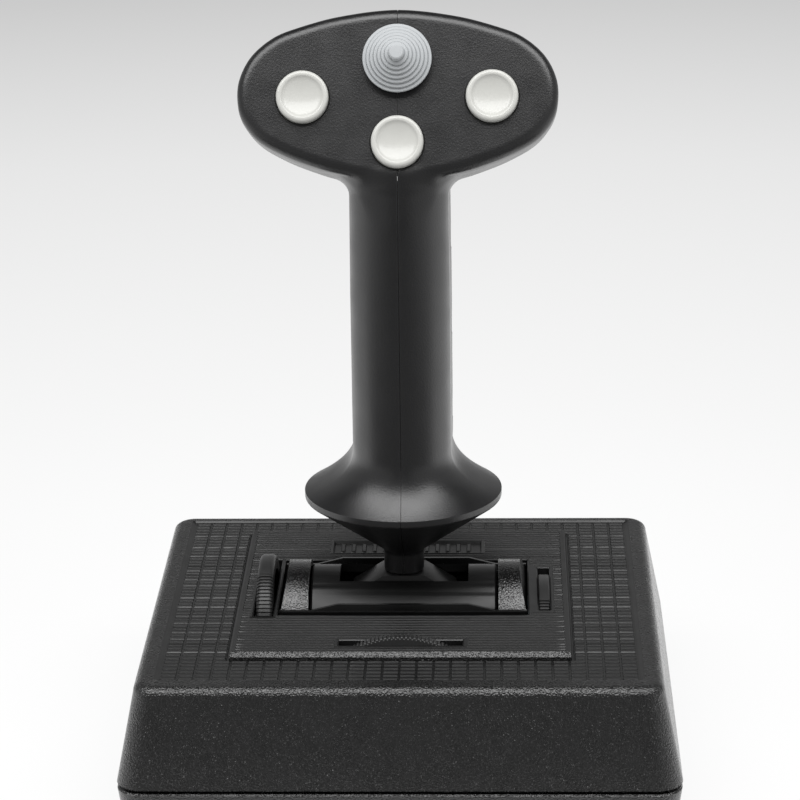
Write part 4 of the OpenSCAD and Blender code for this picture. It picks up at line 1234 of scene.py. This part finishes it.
def floor_material():
    """Paper sweep with painted glow, brightest under the object and falling off outwards; in reflections
    its front is painted dim.
    """
    material = bpy.data.materials.new("glowing_sweep")
    material.use_nodes = True
    tree = material.node_tree
    shader = tree.nodes["Principled BSDF"]
    shader.inputs["Roughness"].default_value = 0.9
    shader.inputs["Specular IOR Level"].default_value = 0.0
    shader.inputs["Base Color"].default_value = (0.10, 0.10, 0.10, 1)
    place = add_node(tree, "TexCoord").outputs["Object"]
    length = add_node(tree, "VectorMath")
    length.operation = "LENGTH"
    link(tree, place, length.inputs[0])
    shades = add_node(tree, "ValToRGB")
    while len(shades.color_ramp.elements) < len(FLOOR_GLOW):
        shades.color_ramp.elements.new(0.5)
    for element, (distance, glow) in zip(shades.color_ramp.elements, FLOOR_GLOW):
        element.position = distance / FLOOR_RADIUS
        element.color = (glow, glow, glow, 1)
    link(tree, number(tree, "DIVIDE", length.outputs["Value"], FLOOR_RADIUS), shades.inputs["Fac"])
    link(tree, shades.outputs["Color"], shader.inputs["Emission Color"])
    # painted reflections: to glossy rays the floor in front of the object glows at about a twentieth, and
    # near the object up to 1.4 times as bright
    axes = add_node(tree, "SeparateXYZ")
    link(tree, place, axes.inputs["Vector"])
    ahead = mapped(tree, axes.outputs["Y"], -0.12, -0.07, 0.05, 1.0)
    aside = mapped(tree, number(tree, "ABSOLUTE", axes.outputs["X"]), 0.35, 0.70, 0.08, 1.0)
    front = number(tree, "MAXIMUM", ahead, aside)
    near = mapped(tree, length.outputs["Value"], 0.8, 2.0, 1.4, 0.95)
    change = number(tree, "SUBTRACT", number(tree, "MULTIPLY", front, near), 1.0)
    reflected = add_node(tree, "LightPath").outputs["Is Glossy Ray"]
    link(tree, number(tree, "MULTIPLY_ADD", change, reflected, 1.0), shader.inputs["Emission Strength"])
    return material


def make_floor():
    """A round sweep: flat floor with a soft rise at its rim, seen the same from every side."""
    bend = 0.8
    profile = [(0, 0), (0.5, 0), (1.2, 0), (FLOOR_RADIUS - bend, 0)]
    profile += [(FLOOR_RADIUS - bend + bend * sin(a), bend - bend * cos(a))
                for a in (radians(d) for d in range(10, 91, 10))]
    profile.append((FLOOR_RADIUS, WALL_HEIGHT))
    MATERIAL["floor"] = floor_material()
    lathe("glowing_floor", [(r / MM, h / MM) for r, h in profile], "floor")


def softbox(name, place, aim, size, glow):
    """Rectangular light with an even glow, given as radiance."""
    lamp = bpy.data.lights.new(name, "AREA")
    lamp.shape = "RECTANGLE"
    lamp.size, lamp.size_y = size
    lamp.energy = glow * pi * size[0] * size[1]
    holder = bpy.data.objects.new(name, lamp)
    holder.location = place
    holder.rotation_mode = "QUATERNION"
    holder.rotation_quaternion = (Vector(aim) - Vector(place)).to_track_quat("-Z", "Y")
    holder.visible_camera = False
    bpy.context.scene.collection.objects.link(holder)


def make_world():
    """Pale to the camera, soft fill for matt surfaces, dim in reflections."""
    world = bpy.data.worlds.new("soft_room")
    bpy.context.scene.world = world
    world.use_nodes = True
    tree = world.node_tree
    path = add_node(tree, "LightPath")
    background = tree.nodes["Background"]
    background.inputs["Color"].default_value = (1, 1, 1, 1)
    seen = number(tree, "MULTIPLY", path.outputs["Is Camera Ray"], WORLD_SEEN)
    fill = number(tree, "MULTIPLY", path.outputs["Is Diffuse Ray"], WORLD_FILL)
    glow = number(tree, "ADD", number(tree, "ADD", seen, fill), WORLD_BASE)
    link(tree, glow, background.inputs["Strength"])


def make_light():
    softbox("overhead_front", (0.0, -0.42, 1.3), (0, 0, 0.1), (2.6, 0.8), 4.9)
    make_world()
    bpy.context.scene.view_settings.view_transform = "Standard"


def make_camera():
    lens = bpy.data.cameras.new("camera")
    lens.lens = CAMERA_LENS
    lens.sensor_width = 36
    camera = bpy.data.objects.new("camera", lens)
    forward = Vector((-sin(CAMERA_LEFT) * cos(CAMERA_DOWN),
                      cos(CAMERA_LEFT) * cos(CAMERA_DOWN), -sin(CAMERA_DOWN)))
    level = Vector((cos(CAMERA_LEFT), sin(CAMERA_LEFT), 0))
    upward = level.cross(forward)
    right = cos(CAMERA_ROLL) * level + sin(CAMERA_ROLL) * upward
    up = -sin(CAMERA_ROLL) * level + cos(CAMERA_ROLL) * upward
    turn = Matrix((right, up, -forward)).transposed().to_4x4()
    camera.matrix_world = Matrix.Translation(CAMERA_PLACE) @ turn
    bpy.context.scene.collection.objects.link(camera)
    bpy.context.scene.camera = camera


make_floor()
make_light()
make_camera()
